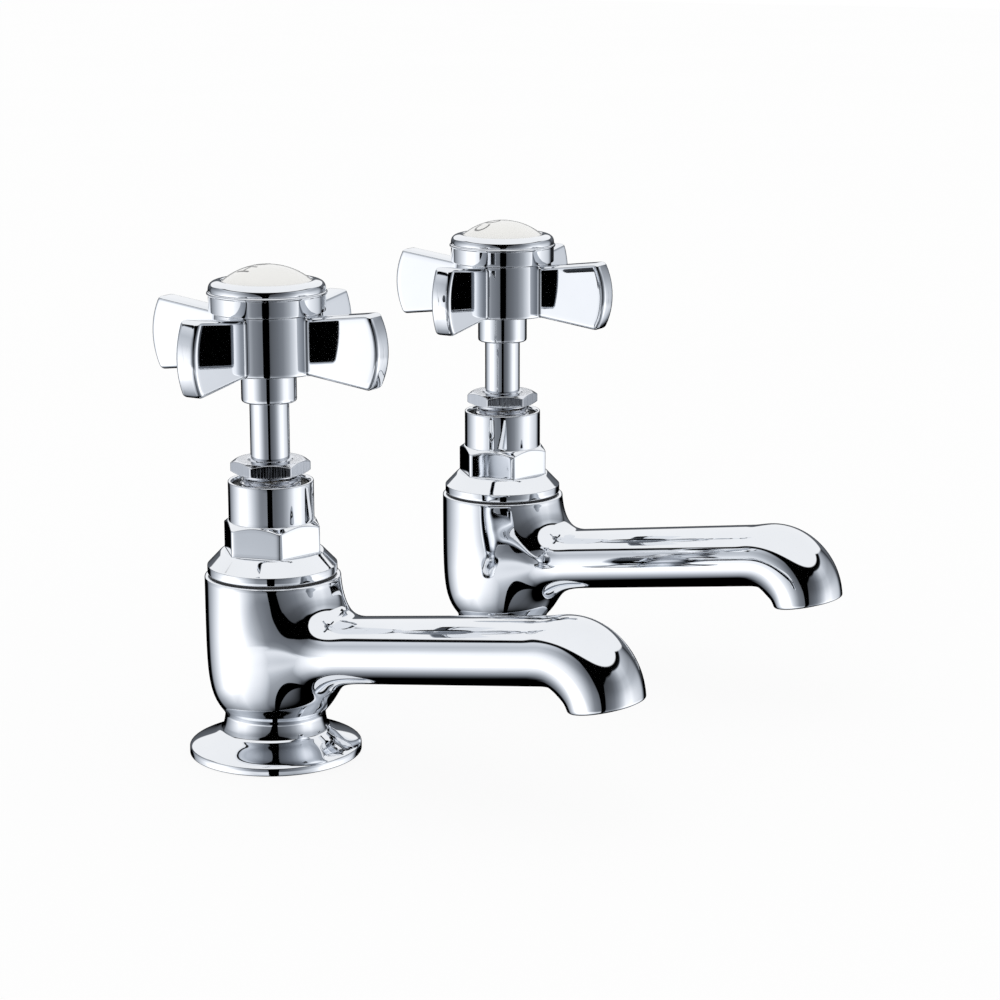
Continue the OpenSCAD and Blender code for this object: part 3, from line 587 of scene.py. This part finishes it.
coverShell = coverMesh()
for tap in taps:
    addPiece(tap, "Cover", coverShell, chromeLook, "root", ["cover"])
print("stage: covers", len(coverShell[0]), "points")

# Gland nut, machined, with its thread in the cover's mouth
glandSizes = dict(
    flats=20.7, turn=37.0, foot=86.3, top=90.3, bore=5.91, end=76.3, endEdge=8.5, thread=9.0,
    threadDepth=0.6, pitch=1.25, threadRows=(76.6, 85.4, 0.15), shank=8.35, footEdge=10.25, footSlope=0.3,
    topEdge=10.1, topSlope=0.56, crown=6.7)


# Its profile turned, with a thread below and the hexagon's corners cut to slopes above and below
def glandMesh():
    s = glandSizes
    angles = hexAngles(s["turn"])
    flat = hexRadius(angles, s["turn"], s["flats"], 110)
    rows = [(threadRadius(angles, z, s["thread"], s["threadDepth"], s["pitch"]), z, 0)
            for z in np.arange(*s["threadRows"])]
    keys = ([(s["bore"], s["end"], 0), (s["endEdge"], s["end"], 0.2)] + rows
            + [(s["shank"], 85.6, 0), (s["shank"], s["foot"], 0.15), (s["footEdge"], s["foot"], 0.15),
               (flat, s["foot"] + (flat - s["footEdge"] + 0.05) * s["footSlope"], 0.15),
               (flat, s["top"] - (flat - s["topEdge"] - 0.05) * s["topSlope"], 0.16),
               (s["topEdge"], s["top"], 0.16), (s["crown"], s["top"], 0.15),
               (s["bore"], s["top"] - 0.7, 0.1)])
    return turnedShell(keys, angles, 0.8)


glandShell = glandMesh()
for tap in taps:
    addPiece(tap, "GlandNut", glandShell, machinedLook, "root", ["gland_nut"])
print("stage: gland nuts", len(glandShell[0]), "points")

# Spindle, turned: the jumper's socket, the lifting thread, the stem, and splines with the screw's hole
spindleSizes = dict(
    foot=28.4, socket=3.06, socketTop=42.4, plug=7.1, plugTop=44.0, thread=8.3, threadDepth=0.9, lead=2.54,
    threadRows=(44.4, 56.4, 0.3), shoulder=(7.4, 56.6), stem=5.85, stemFoot=56.95, stemTop=118.2,
    spline=4.6, splineDepth=0.35, splines=20, splineTop=130.6, top=130.9, endEdge=4.1, screwHole=2.45,
    screwFoot=119.9, columns=120)


# Its profile turned. The splines' radius is spline - splineDepth (1 - cos(splines a)) / 2
def spindleMesh():
    s = spindleSizes
    angles = roundAngles(s["columns"])
    thread = [(threadRadius(angles, z, s["thread"], s["threadDepth"], s["lead"]), z, 0)
              for z in np.arange(*s["threadRows"])]
    ridged = s["spline"] - s["splineDepth"] * (0.5 - 0.5 * np.cos(s["splines"] * angles))
    keys = ([(pole, s["socketTop"], 0), (s["socket"], s["socketTop"], 0.1), (s["socket"], s["foot"], 0.3),
             (s["plug"], s["foot"], 0.3), (s["plug"], s["plugTop"], 0.2)] + thread
            + [(*s["shoulder"], 0), (s["stem"], s["stemFoot"], 0.1), (s["stem"], s["stemTop"], 0.25),
               (ridged, s["stemTop"] + 0.1, 0), (ridged, s["splineTop"], 0), (s["endEdge"], s["top"], 0),
               (s["screwHole"], s["top"], 0), (s["screwHole"], s["screwFoot"], 0), (pole, s["screwFoot"], 0)])
    return turnedShell(keys, angles, 1.5, False)


# Handle bush: a sleeve over the stem, and a plug in the hub with a socket for the splines
bushSizes = dict(
    bore=5.9, sleeve=8.2, foot=107.7, footEdge=0.9, shoulder=116.96, plug=7.5, top=131.4, socket=4.66,
    socketFoot=118.3)


def bushMesh():
    s = bushSizes
    keys = [(s["bore"], s["foot"] + 0.02, 0.15), (s["sleeve"], s["foot"], s["footEdge"]),
            (s["sleeve"], s["shoulder"], 0.1), (s["plug"], s["shoulder"] + 0.09, 0), (s["plug"], s["top"], 0),
            (s["socket"], s["top"], 0), (s["socket"], s["socketFoot"], 0), (s["bore"], s["socketFoot"], 0)]
    return turnedShell(keys, roundAngles(180), 1.0)


# Bezel: a ring that sits in the hub's seat, with a rounded crown and a lip over the dome's edge
bezelSizes = dict(
    inside=14.15, skirt=14.85, foot=136.3, brim=17.15, brimFoot=140.5,
    crown=((17.25, 140.7), (17.3, 142.7), (16.4, 143.45), (14.2, 143.7)), lip=13.26, lipTop=(13.5, 143.72),
    lipEdge=143.45, lipFoot=142.65)


def bezelMesh():
    s = bezelSizes
    keys = ([(s["inside"], s["foot"], 0), (s["skirt"], s["foot"], 0), (s["skirt"], s["brimFoot"], 0),
             (s["brim"], s["brimFoot"], 0.1)] + curveKeys(*s["crown"], 18)
            + [(*s["lipTop"], 0.12), (s["lip"], s["lipEdge"], 0.1), (s["lip"], s["lipFoot"], 0),
               (s["inside"], s["lipFoot"], 0)])
    return turnedShell(keys, roundAngles(180), 1.0)


# Dome, a ceramic button whose ball has the radius (radius^2 + rise^2) / 2 rise
domeSizes = dict(
    radius=13.2, rise=4.7, base=143.5, foot=138.9, rim=14.1, rimTop=142.6, neckTop=143.4, rings=40,
    columns=160)
domeTop = domeSizes["base"] + domeSizes["rise"]
ballRadius = (domeSizes["radius"] ** 2 + domeSizes["rise"] ** 2) / 2 / domeSizes["rise"]


# The cap is radius R sin a and height top - R (1 - cos a), with R the ball's radius
def domeMesh():
    s = domeSizes
    a = np.arcsin(s["radius"] / ballRadius) * np.linspace(1, 0.012, s["rings"])
    cap = [(ballRadius * math.sin(v), domeTop - ballRadius * (1 - math.cos(v)), 0) for v in a]
    keys = [(pole, s["foot"], 0), (s["rim"], s["foot"], 0.2), (s["rim"], s["rimTop"], 0.1),
            (s["radius"], s["rimTop"], 0), (s["radius"], s["neckTop"], 0)] + cap
    return turnedShell(keys, roundAngles(s["columns"]), 1.5, False)


spindleShell, bushShell, bezelShell, domeShell = spindleMesh(), bushMesh(), bezelMesh(), domeMesh()
for tap in taps:
    top = tap + "_top"
    addPiece(tap, "Spindle", spindleShell, chromeLook, top, ["spindle"])
    addPiece(tap, "HandleBush", bushShell, chromeLook, top, ["handle_bush"])
    addPiece(tap, "Bezel", bezelShell, chromeLook, top, ["bezel"])
    addPiece(tap, "Dome", domeShell, ceramicLook, top, ["index"])
print("stage: turned pieces")

# Cross handle: the hub with its collar and bead, then the arms
handleSizes = dict(
    foot=117.0, hub=16.35, hubEdge=0.55, bore=7.56, socketFoot=134.9, seat=14.92, rim=16.6,
    collarFrom=134.5, collar=17.2, top=140.5, bead=0.5, hubColumns=240, reach=40.5, thick=6.9, root=17.0,
    tip=22.4, bow=22.5, edge=1.3, fillet=0.9, flare=0.03, sunk=0.9, turn=1.8)


# An arm's loop as corner weights and unit offsets: y = sy (half - edge) + cy edge, z the same with sz and cz
def armLoop(perCorner=9, shortSteps=6, longSteps=12):
    rows = []
    signs = [(1, 1), (-1, 1), (-1, -1), (1, -1)]
    for i, (sy, sz) in enumerate(signs):
        for a in np.radians(90 * i + np.linspace(0, 90, perCorner)):
            rows.append((sy, sz, math.cos(a), math.sin(a)))
        ny, nz = signs[(i + 1) % 4]
        steps = shortSteps if i % 2 == 0 else longSteps
        a = math.radians(90 * i + 90)
        for t in np.arange(1, steps) / steps:
            rows.append((sy + (ny - sy) * t, sz + (nz - sz) * t, math.cos(a), math.sin(a)))
    return np.array(rows).T


# An arm along +X: x runs from the hub's wall sqrt(hub^2 - y^2) to the bowed and turned end
# sqrt((reach - bow + sqrt(bow^2 - z^2))^2 - y^2), its half height from root to tip, and its foot flares as a
# fillet
def armMesh():
    s = handleSizes
    sy, sz, cy, cz = armLoop()
    edge, fillet, middle = s["edge"], s["fillet"], s["foot"] + s["root"] / 2
    halfThick = s["thick"] / 2
    tipAt = s["reach"] - s["bow"] + math.sqrt(s["bow"] ** 2 - (s["tip"] / 2) ** 2)

    def halfHeight(x):
        return s["root"] / 2 + (s["tip"] - s["root"]) / 2 * (x - s["hub"]) / (tipAt - s["hub"])

    def endAt(y, z):
        reach = s["reach"] - s["bow"] + np.sqrt(s["bow"] ** 2 - z ** 2)
        return np.sqrt(reach ** 2 - y ** 2)

    def row(off, along, grow, shrink, forward):
        # three passes, since the height depends on x and x on the height
        x = np.full(len(sy), s["hub"] + 1.0)
        for i in range(3):
            high = halfHeight(x)
            y = sy * (halfThick - edge) + cy * edge * shrink + sy * grow
            z = sz * (high - edge) + cz * edge * shrink + sz * grow * s["flare"]
            wall = np.sqrt(s["hub"] ** 2 - np.minimum(np.abs(y), s["hub"] - 1) ** 2)
            x = wall + off + along * (endAt(y, z) - edge - wall) + forward
        return np.stack([x, y, z + middle], -1)

    rows = [row(-s["sunk"], 0, fillet, 1, 0)]
    for a in np.radians(np.linspace(90, 0, 13)):
        rows.append(row(-0.02 + fillet * (1 - math.sin(a)), 0, fillet * (1 - math.cos(a)), 1, 0))
    for along in np.linspace(0, 1, 22)[1:]:
        rows.append(row(fillet * (1 - along), along, 0, 1, 0))
    for a in np.radians([18, 36, 54, 72, 90]):
        rows.append(row(0, 1, 0, math.cos(a), edge * math.sin(a)))
    for inner in (0.85, 0.7, 0.5, 0.3, 0.12):
        y = sy * (halfThick - edge) * inner
        z = sz * (halfHeight(np.full(len(sy), tipAt)) - edge) * inner
        rows.append(np.stack([endAt(y, z), y, z + middle], -1))
    return shell(np.array(rows))


# The hub's profile turned, with a bead of radius bead round its top, and four arms turned round it
def handleMesh():
    s = handleSizes
    bead, under = s["bead"], s["top"] - s["bead"]
    beadArc = [(s["collar"] + bead * math.cos(a), under + bead * math.sin(a), 0)
               for a in np.radians(np.linspace(-85, 85, 12))]
    keys = ([(s["bore"], s["foot"], 0), (s["hub"], s["foot"], s["hubEdge"]),
             (s["hub"], s["collarFrom"] - 0.1, 0.12), (s["hub"] + 0.25, s["collarFrom"] + 0.05, 0.05),
             (s["collar"], s["collarFrom"] + 0.1, 0.3),
             (s["collar"], s["top"] - 2 * bead - 0.05, 0.1)] + beadArc
            + [(s["rim"], s["top"] - 0.02, 0), (s["seat"], s["top"] - 0.02, 0),
               (s["seat"], s["socketFoot"], 0), (s["bore"], s["socketFoot"], 0)])
    parts = [turnedShell(keys, roundAngles(s["hubColumns"]), 1.0)]
    points, faces = armMesh()
    for k in range(4):
        a = math.radians(s["turn"] + 90 * k)
        c, d = math.cos(a), math.sin(a)
        parts.append((points @ np.array([[c, d, 0], [-d, c, 0], [0, 0, 1]]), faces))
    return joined(*parts)


handleShell = handleMesh()
for tap in taps:
    addPiece(tap, "Handle", handleShell, chromeLook, tap + "_top", ["handle"], 32)
print("stage: handles", len(handleShell[0]), "points")

# Lettering on the domes: flat words laid on the ball, z = top - R + sqrt(R^2 - x^2 - y^2) + lift
letterSizes = dict(
    hot="HOT", cold="COLD", height=5.0, capShare=0.7, spacing=1.1, turn=80.0, shift=(-1.8, 0.0), lift=0.03,
    longestEdge=0.5, cuts=5)


# A word as a flat mesh, cut small enough to follow the ball
def wordMesh(tap):
    s = letterSizes
    curve = bpy.data.curves.new(tap + "Letters", "FONT")
    curve.body = s[tap]
    curve.size = s["height"] / s["capShare"]
    curve.space_character = s["spacing"]
    curve.align_x, curve.align_y = "CENTER", "CENTER"
    holder = bpy.data.objects.new(tap + "LettersFlat", curve)
    bpy.context.scene.collection.objects.link(holder)
    bpy.context.view_layer.update()
    data = bpy.data.meshes.new_from_object(holder.evaluated_get(bpy.context.evaluated_depsgraph_get()))
    bpy.data.objects.remove(holder)
    cut = bmesh.new()
    cut.from_mesh(data)
    bmesh.ops.remove_doubles(cut, verts=cut.verts[:], dist=0.002)
    for i in range(s["cuts"]):
        bmesh.ops.triangulate(cut, faces=cut.faces[:])
        long = [e for e in cut.edges if e.calc_length() > s["longestEdge"]]
        bmesh.ops.subdivide_edges(cut, edges=long, cuts=1)
    bmesh.ops.triangulate(cut, faces=cut.faces[:])
    cut.to_mesh(data)
    cut.free()
    data.validate()
    return data


def addLetters(tap):
    s = letterSizes
    data = wordMesh(tap)
    flat = np.zeros(len(data.vertices) * 3)
    data.vertices.foreach_get("co", flat)
    flat = flat.reshape(-1, 3)
    a = math.radians(s["turn"])
    x = flat[:, 0] * math.cos(a) - flat[:, 1] * math.sin(a) + s["shift"][0]
    y = flat[:, 0] * math.sin(a) + flat[:, 1] * math.cos(a) + s["shift"][1]
    z = domeTop - ballRadius + np.sqrt(ballRadius ** 2 - x * x - y * y) + s["lift"]
    data.vertices.foreach_set("co", (np.stack([x, y + taps[tap], z], -1) / 1000).ravel())
    data.materials.clear()
    data.materials.append(letterLook)
    data.name = tap + "Letters"
    piece = bpy.data.objects.new(tap + "Letters", data)
    bpy.context.scene.collection.objects.link(piece)
    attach(piece, tap + "_top")


for tap in taps:
    addLetters(tap)
print("stage: letters")

# Backnut, washer and gasket, below and on the deck
nutSizes = dict(
    flats=36.0, foot=-33.0, shoulder=-23.5, top=-21.0, flange=21.0, bore=13.27, footHole=13.9, topHole=13.6,
    chamfer=17.4, chamferSlope=0.5)
washerSizes = dict(
    inner=13.3, outer=20.0, foot=-20.98, top=-18.02, innerEdge=0.2, outerEdge=0.4)
gasketSizes = dict(
    inner=17.08, outer=22.92, foot=0.01, top=1.5, innerEdge=0.2, outerEdge=0.2)


# The nut's profile turned: a hexagon with its lower corners cut to a slope, and a round flange on top
def backnutMesh():
    s = nutSizes
    angles = hexAngles(0)
    flat = hexRadius(angles, 0, s["flats"], 110)
    keys = [(s["bore"], s["foot"] + 0.6, 0.1), (s["footHole"], s["foot"], 0.15),
            (s["chamfer"], s["foot"], 0.3),
            (flat, s["foot"] + (flat - s["chamfer"] + 0.1) * s["chamferSlope"], 0.35),
            (flat, s["shoulder"] - 0.05, 0.25), (s["flange"], s["shoulder"], 0.3),
            (s["flange"], s["top"], 0.3), (s["topHole"], s["top"], 0.15), (s["bore"], s["top"] - 0.4, 0.1)]
    return turnedShell(keys, angles, 1.5)


# A flat ring with rounded edges
def ringMesh(s):
    keys = [(s["inner"], s["foot"], s["innerEdge"]), (s["outer"], s["foot"], s["outerEdge"]),
            (s["outer"], s["top"], s["outerEdge"]), (s["inner"], s["top"], s["innerEdge"])]
    return turnedShell(keys, roundAngles(120), 1.0)


backnutShell, washerShell, gasketShell = backnutMesh(), ringMesh(washerSizes), ringMesh(gasketSizes)
for tap in taps:
    nut = addPiece(tap, "Backnut", backnutShell, brassLook, "root", ["backnut"])
    washer = addPiece(tap, "TailWasher", washerShell, fibreLook, "root", ["tail_washer"])
    addPiece(tap, "DeckGasket", gasketShell, rubberLook, "root", ["deck_gasket"])
    # the deck would hide these two and the tail from the chrome above it
    nut.visible_glossy = washer.visible_glossy = False
print("stage: deck pieces")

# Pieces that stay as packed, with their looks
carried = {"headgear": paintedShadeBrassLook, "headgear_washer": fibreLook, "cover_seal": rubberLook,
           "gland_follower": brassLook, "gland_packing": packingLook, "jumper": brassLook,
           "tap_washer": rubberLook, "washer_nut": brassLook, "handle_screw": brassLook}
for tap in taps:
    for name, look in carried.items():
        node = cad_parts[tap + "_" + name]
        node.data.materials.clear()
        node.data.materials.append(look)

# Floor at the deck's level, seen from above only. Its size and depth are in metres
floorSizes = dict(
    half=6, depth=0.0002, glow=0.88, tones=(0.90, 0.93))


def makeFloor():
    half, z = floorSizes["half"], -floorSizes["depth"]
    data = bpy.data.meshes.new("floor")
    corners = [(-half, -half, z), (half, -half, z), (half, half, z), (-half, half, z)]
    data.from_pydata(corners, [], [(0, 1, 2, 3)])
    floor = bpy.data.objects.new("floor", data)
    bpy.context.scene.collection.objects.link(floor)
    n = Nodes("paleFloor")
    seen = n.add("ShaderNodeLightPath").outputs["Is Camera Ray"]
    dark, pale = floorSizes["tones"]
    tone = n.ramp(n.noise(3, 2), [(0.3, dark), (0.7, pale)])
    matt = n.add("ShaderNodeBsdfDiffuse", {"Color": tone}).outputs[0]
    glow = n.add("ShaderNodeEmission", {"Color": (1, 1, 1, 1), "Strength": 1.0}).outputs[0]
    lit = n.mixShader(seen, matt, n.mixShader(floorSizes["glow"], matt, glow))
    clear = n.add("ShaderNodeBsdfTransparent").outputs[0]
    below = n.add("ShaderNodeNewGeometry").outputs["Backfacing"]
    n.add("ShaderNodeOutputMaterial", {"Surface": n.mixShader(below, lit, clear)})
    data.materials.append(n.owner)
    floor.visible_glossy = False


makeFloor()

# Light tent round the taps, as a world: two soft boxes at the sides and one overhead, with dark gaps between
# them. Azimuth 0 is the side the photograph was taken from, and stops are (degrees, brightness)
tentStops = {
    "boxSides": [
        (-180, 0), (-139, 0), (-134, 0.25), (-121, 0.46), (-109, 0.70), (-97, 0.98), (-85, 1.25), (-66, 1.25),
        (-55, 1.0), (-45, 0.72), (-35, 0.46), (-25, 0.26), (-13, 0.19), (-5.5, 0.16), (8.6, 0.09), (13, 0.12),
        (25, 0.17), (36, 0.24), (48, 0.42), (60, 0.75), (70, 1.1), (88, 1.2), (98, 0.98), (109, 0.85),
        (121, 0.70), (127, 0.57), (131, 0.38), (136, 0.12), (140, 0), (180, 0)],
    "boxUp": [
        (-90, 0), (-62, 0), (-57, 0.12), (-51, 0.28), (-42, 0.5), (-33, 0.85), (-26, 1.35), (-16, 1.35),
        (-13, 1.02), (-8, 1.0), (0, 0.85), (9, 0.57), (19, 0.46), (28, 0.58), (32, 0.62), (33.5, 0.01),
        (90, 0.01)],
    # in front, between the boxes, the table gives its own light low down
    "tableUp": [
        (-90, 0), (-62, 0), (-51, 0.20), (-39, 0.32), (-32.5, 0.39), (-28, 0.50), (-24.4, 0.64), (-20.5, 0.87),
        (-19, 0.91), (-17.8, 0.76), (-16.7, 0.46), (-15, 0.28), (-9, 0.155), (-4, 0.12), (0, 0.08), (4, 0),
        (90, 0)],
    "tableSides": [(-180, 0), (-75, 0), (-60, 1), (-5, 1), (5, 0.55), (30, 0.55), (60, 1), (75, 0), (180, 0)],
    # and more of it to the left
    "leftUp": [
        (-90, 0), (-66, 0), (-59, 0.20), (-48, 0.42), (-39, 0.67), (-32, 0.82), (-27, 0.92), (-20, 1.02),
        (-16.7, 0.93), (-15.3, 0.40), (-12, 0.1), (-8, 0), (90, 0)],
    "leftSides": [
        (-180, 0), (-125, 0), (-105, 0.7), (-87, 1), (-60, 1.5), (-45, 1.2), (-32, 1), (-24, 0.8), (-16, 0.45),
        (-8, 0.25), (0, 0.1), (8, 0), (180, 0)],
    "backUp": [(-90, 0), (-9, 0), (0, 0.09), (8, 0.13), (30, 0.13), (40, 0), (90, 0)],
    "backSides": [(-180, 1), (-143, 1), (-136, 0), (136, 0), (143, 1), (180, 1)]}
# Degrees of height over azimuth: above gapFrom the front is dark, and above overFrom the overhead box shines
gapFrom = [(-180, 34), (-66, 34), (-50, 31), (-36, 27), (-28, 24), (-20, 16), (-14, 8), (-8, 0), (-5.5, -9),
           (-4.5, -75), (7.6, -75), (8.6, 0), (11.4, 13), (26, 23.6), (40, 27), (58, 34), (180, 34)]
overFrom = [(-180, 8), (-165, 9), (-150, 11), (-139, 14), (-125, 24), (-110, 39), (110, 39), (139, 20),
            (165, 12), (175, 8), (180, 8)]
# Tones over the brightness times share, the overhead box's tone, and the plain light that matt pieces get
tentTones = {
    "stops": [(0, (0, 0, 0)), (0.15, (0.185, 0.20, 0.225)), (0.45, (0.57, 0.60, 0.645)),
              (0.75, (0.96, 0.98, 1.02)), (1, (1.3, 1.3, 1.3))],
    "share": 0.75, "overhead": (0.97, 0.975, 0.985, 1),
    "plain": [(0, 0.75), (0.45, 0.80), (0.60, 0.92), (1, 1.08)],
    "gapSharpness": 70.0, "overSharpness": 120.0, "turn": -32}


def makeTent():
    world = bpy.data.worlds.new("lightTent")
    bpy.context.scene.world = world
    w = Nodes("lightTent", world)
    direction = w.add("ShaderNodeTexCoord").outputs["Generated"]
    turn = math.radians(tentTones["turn"])
    straight = w.add("ShaderNodeVectorRotate", {"Vector": direction, "Angle": turn},
                     rotation_type="Z_AXIS").outputs[0]
    axes = w.add("ShaderNodeSeparateXYZ", {0: straight}).outputs
    azimuth = w.math("ARCTAN2", axes[0], w.math("MULTIPLY", axes[1], -1.0))
    across = w.math("MULTIPLY_ADD", azimuth, 1 / (2 * math.pi), 0.5)
    height = w.math("MULTIPLY_ADD", w.math("ARCSINE", axes[2]), 1 / math.pi, 0.5)

    def sides(stops):
        return w.ramp(across, [((a + 180) / 360, v) for a, v in stops])

    def panel(name):
        up = [((e + 90) / 180, v) for e, v in tentStops[name + "Up"]]
        return w.math("MULTIPLY", sides(tentStops[name + "Sides"]), w.ramp(height, up))

    def above(stops, sharpness):
        edge = sides([(a, (e + 90) / 180) for a, e in stops])
        return w.math("MULTIPLY", w.math("SUBTRACT", height, edge), sharpness, clamp=True)

    tones = tentTones
    front = w.math("MAXIMUM", panel("box"), w.math("MAXIMUM", panel("table"), panel("left")))
    shown = w.math("SUBTRACT", 1.0, above(gapFrom, tones["gapSharpness"]))
    level = w.math("MAXIMUM", w.math("MULTIPLY", front, shown), panel("back"))
    tinted = w.ramp(w.math("MULTIPLY", level, tones["share"]), tones["stops"])
    tent = w.mix(above(overFrom, tones["overSharpness"]), tinted, tones["overhead"])
    path = w.add("ShaderNodeLightPath").outputs
    shiny = w.mix(path["Is Glossy Ray"], w.ramp(height, tones["plain"]), tent)
    seen = w.math("MAXIMUM", path["Is Camera Ray"], path["Is Transmission Ray"])
    light = w.add("ShaderNodeBackground", {"Color": w.mix(seen, shiny, (1, 1, 1, 1)), "Strength": 1.0})
    w.add("ShaderNodeOutputWorld", {"Surface": light.outputs[0]})


makeTent()
print("stage: floor and light")

# Camera, as fitted to the photograph, with its place in metres and its angles in degrees
cameraSizes = dict(
    sensor=36.0, lens=92.462, place=(0.4525, -0.6607, 0.24765), pitch=12.85, swing=32.0, clip=(0.05, 50))


def makeCamera():
    s = cameraSizes
    data = bpy.data.cameras.new("camera")
    data.sensor_width, data.lens = s["sensor"], s["lens"]
    data.clip_start, data.clip_end = s["clip"]
    camera = bpy.data.objects.new("camera", data)
    bpy.context.scene.collection.objects.link(camera)
    camera.location = s["place"]
    camera.rotation_mode = "XYZ"
    camera.rotation_euler = (math.radians(90 - s["pitch"]), 0, math.radians(s["swing"]))
    return camera


bpy.context.scene.camera = makeCamera()
bpy.context.scene.view_settings.view_transform = "Standard"
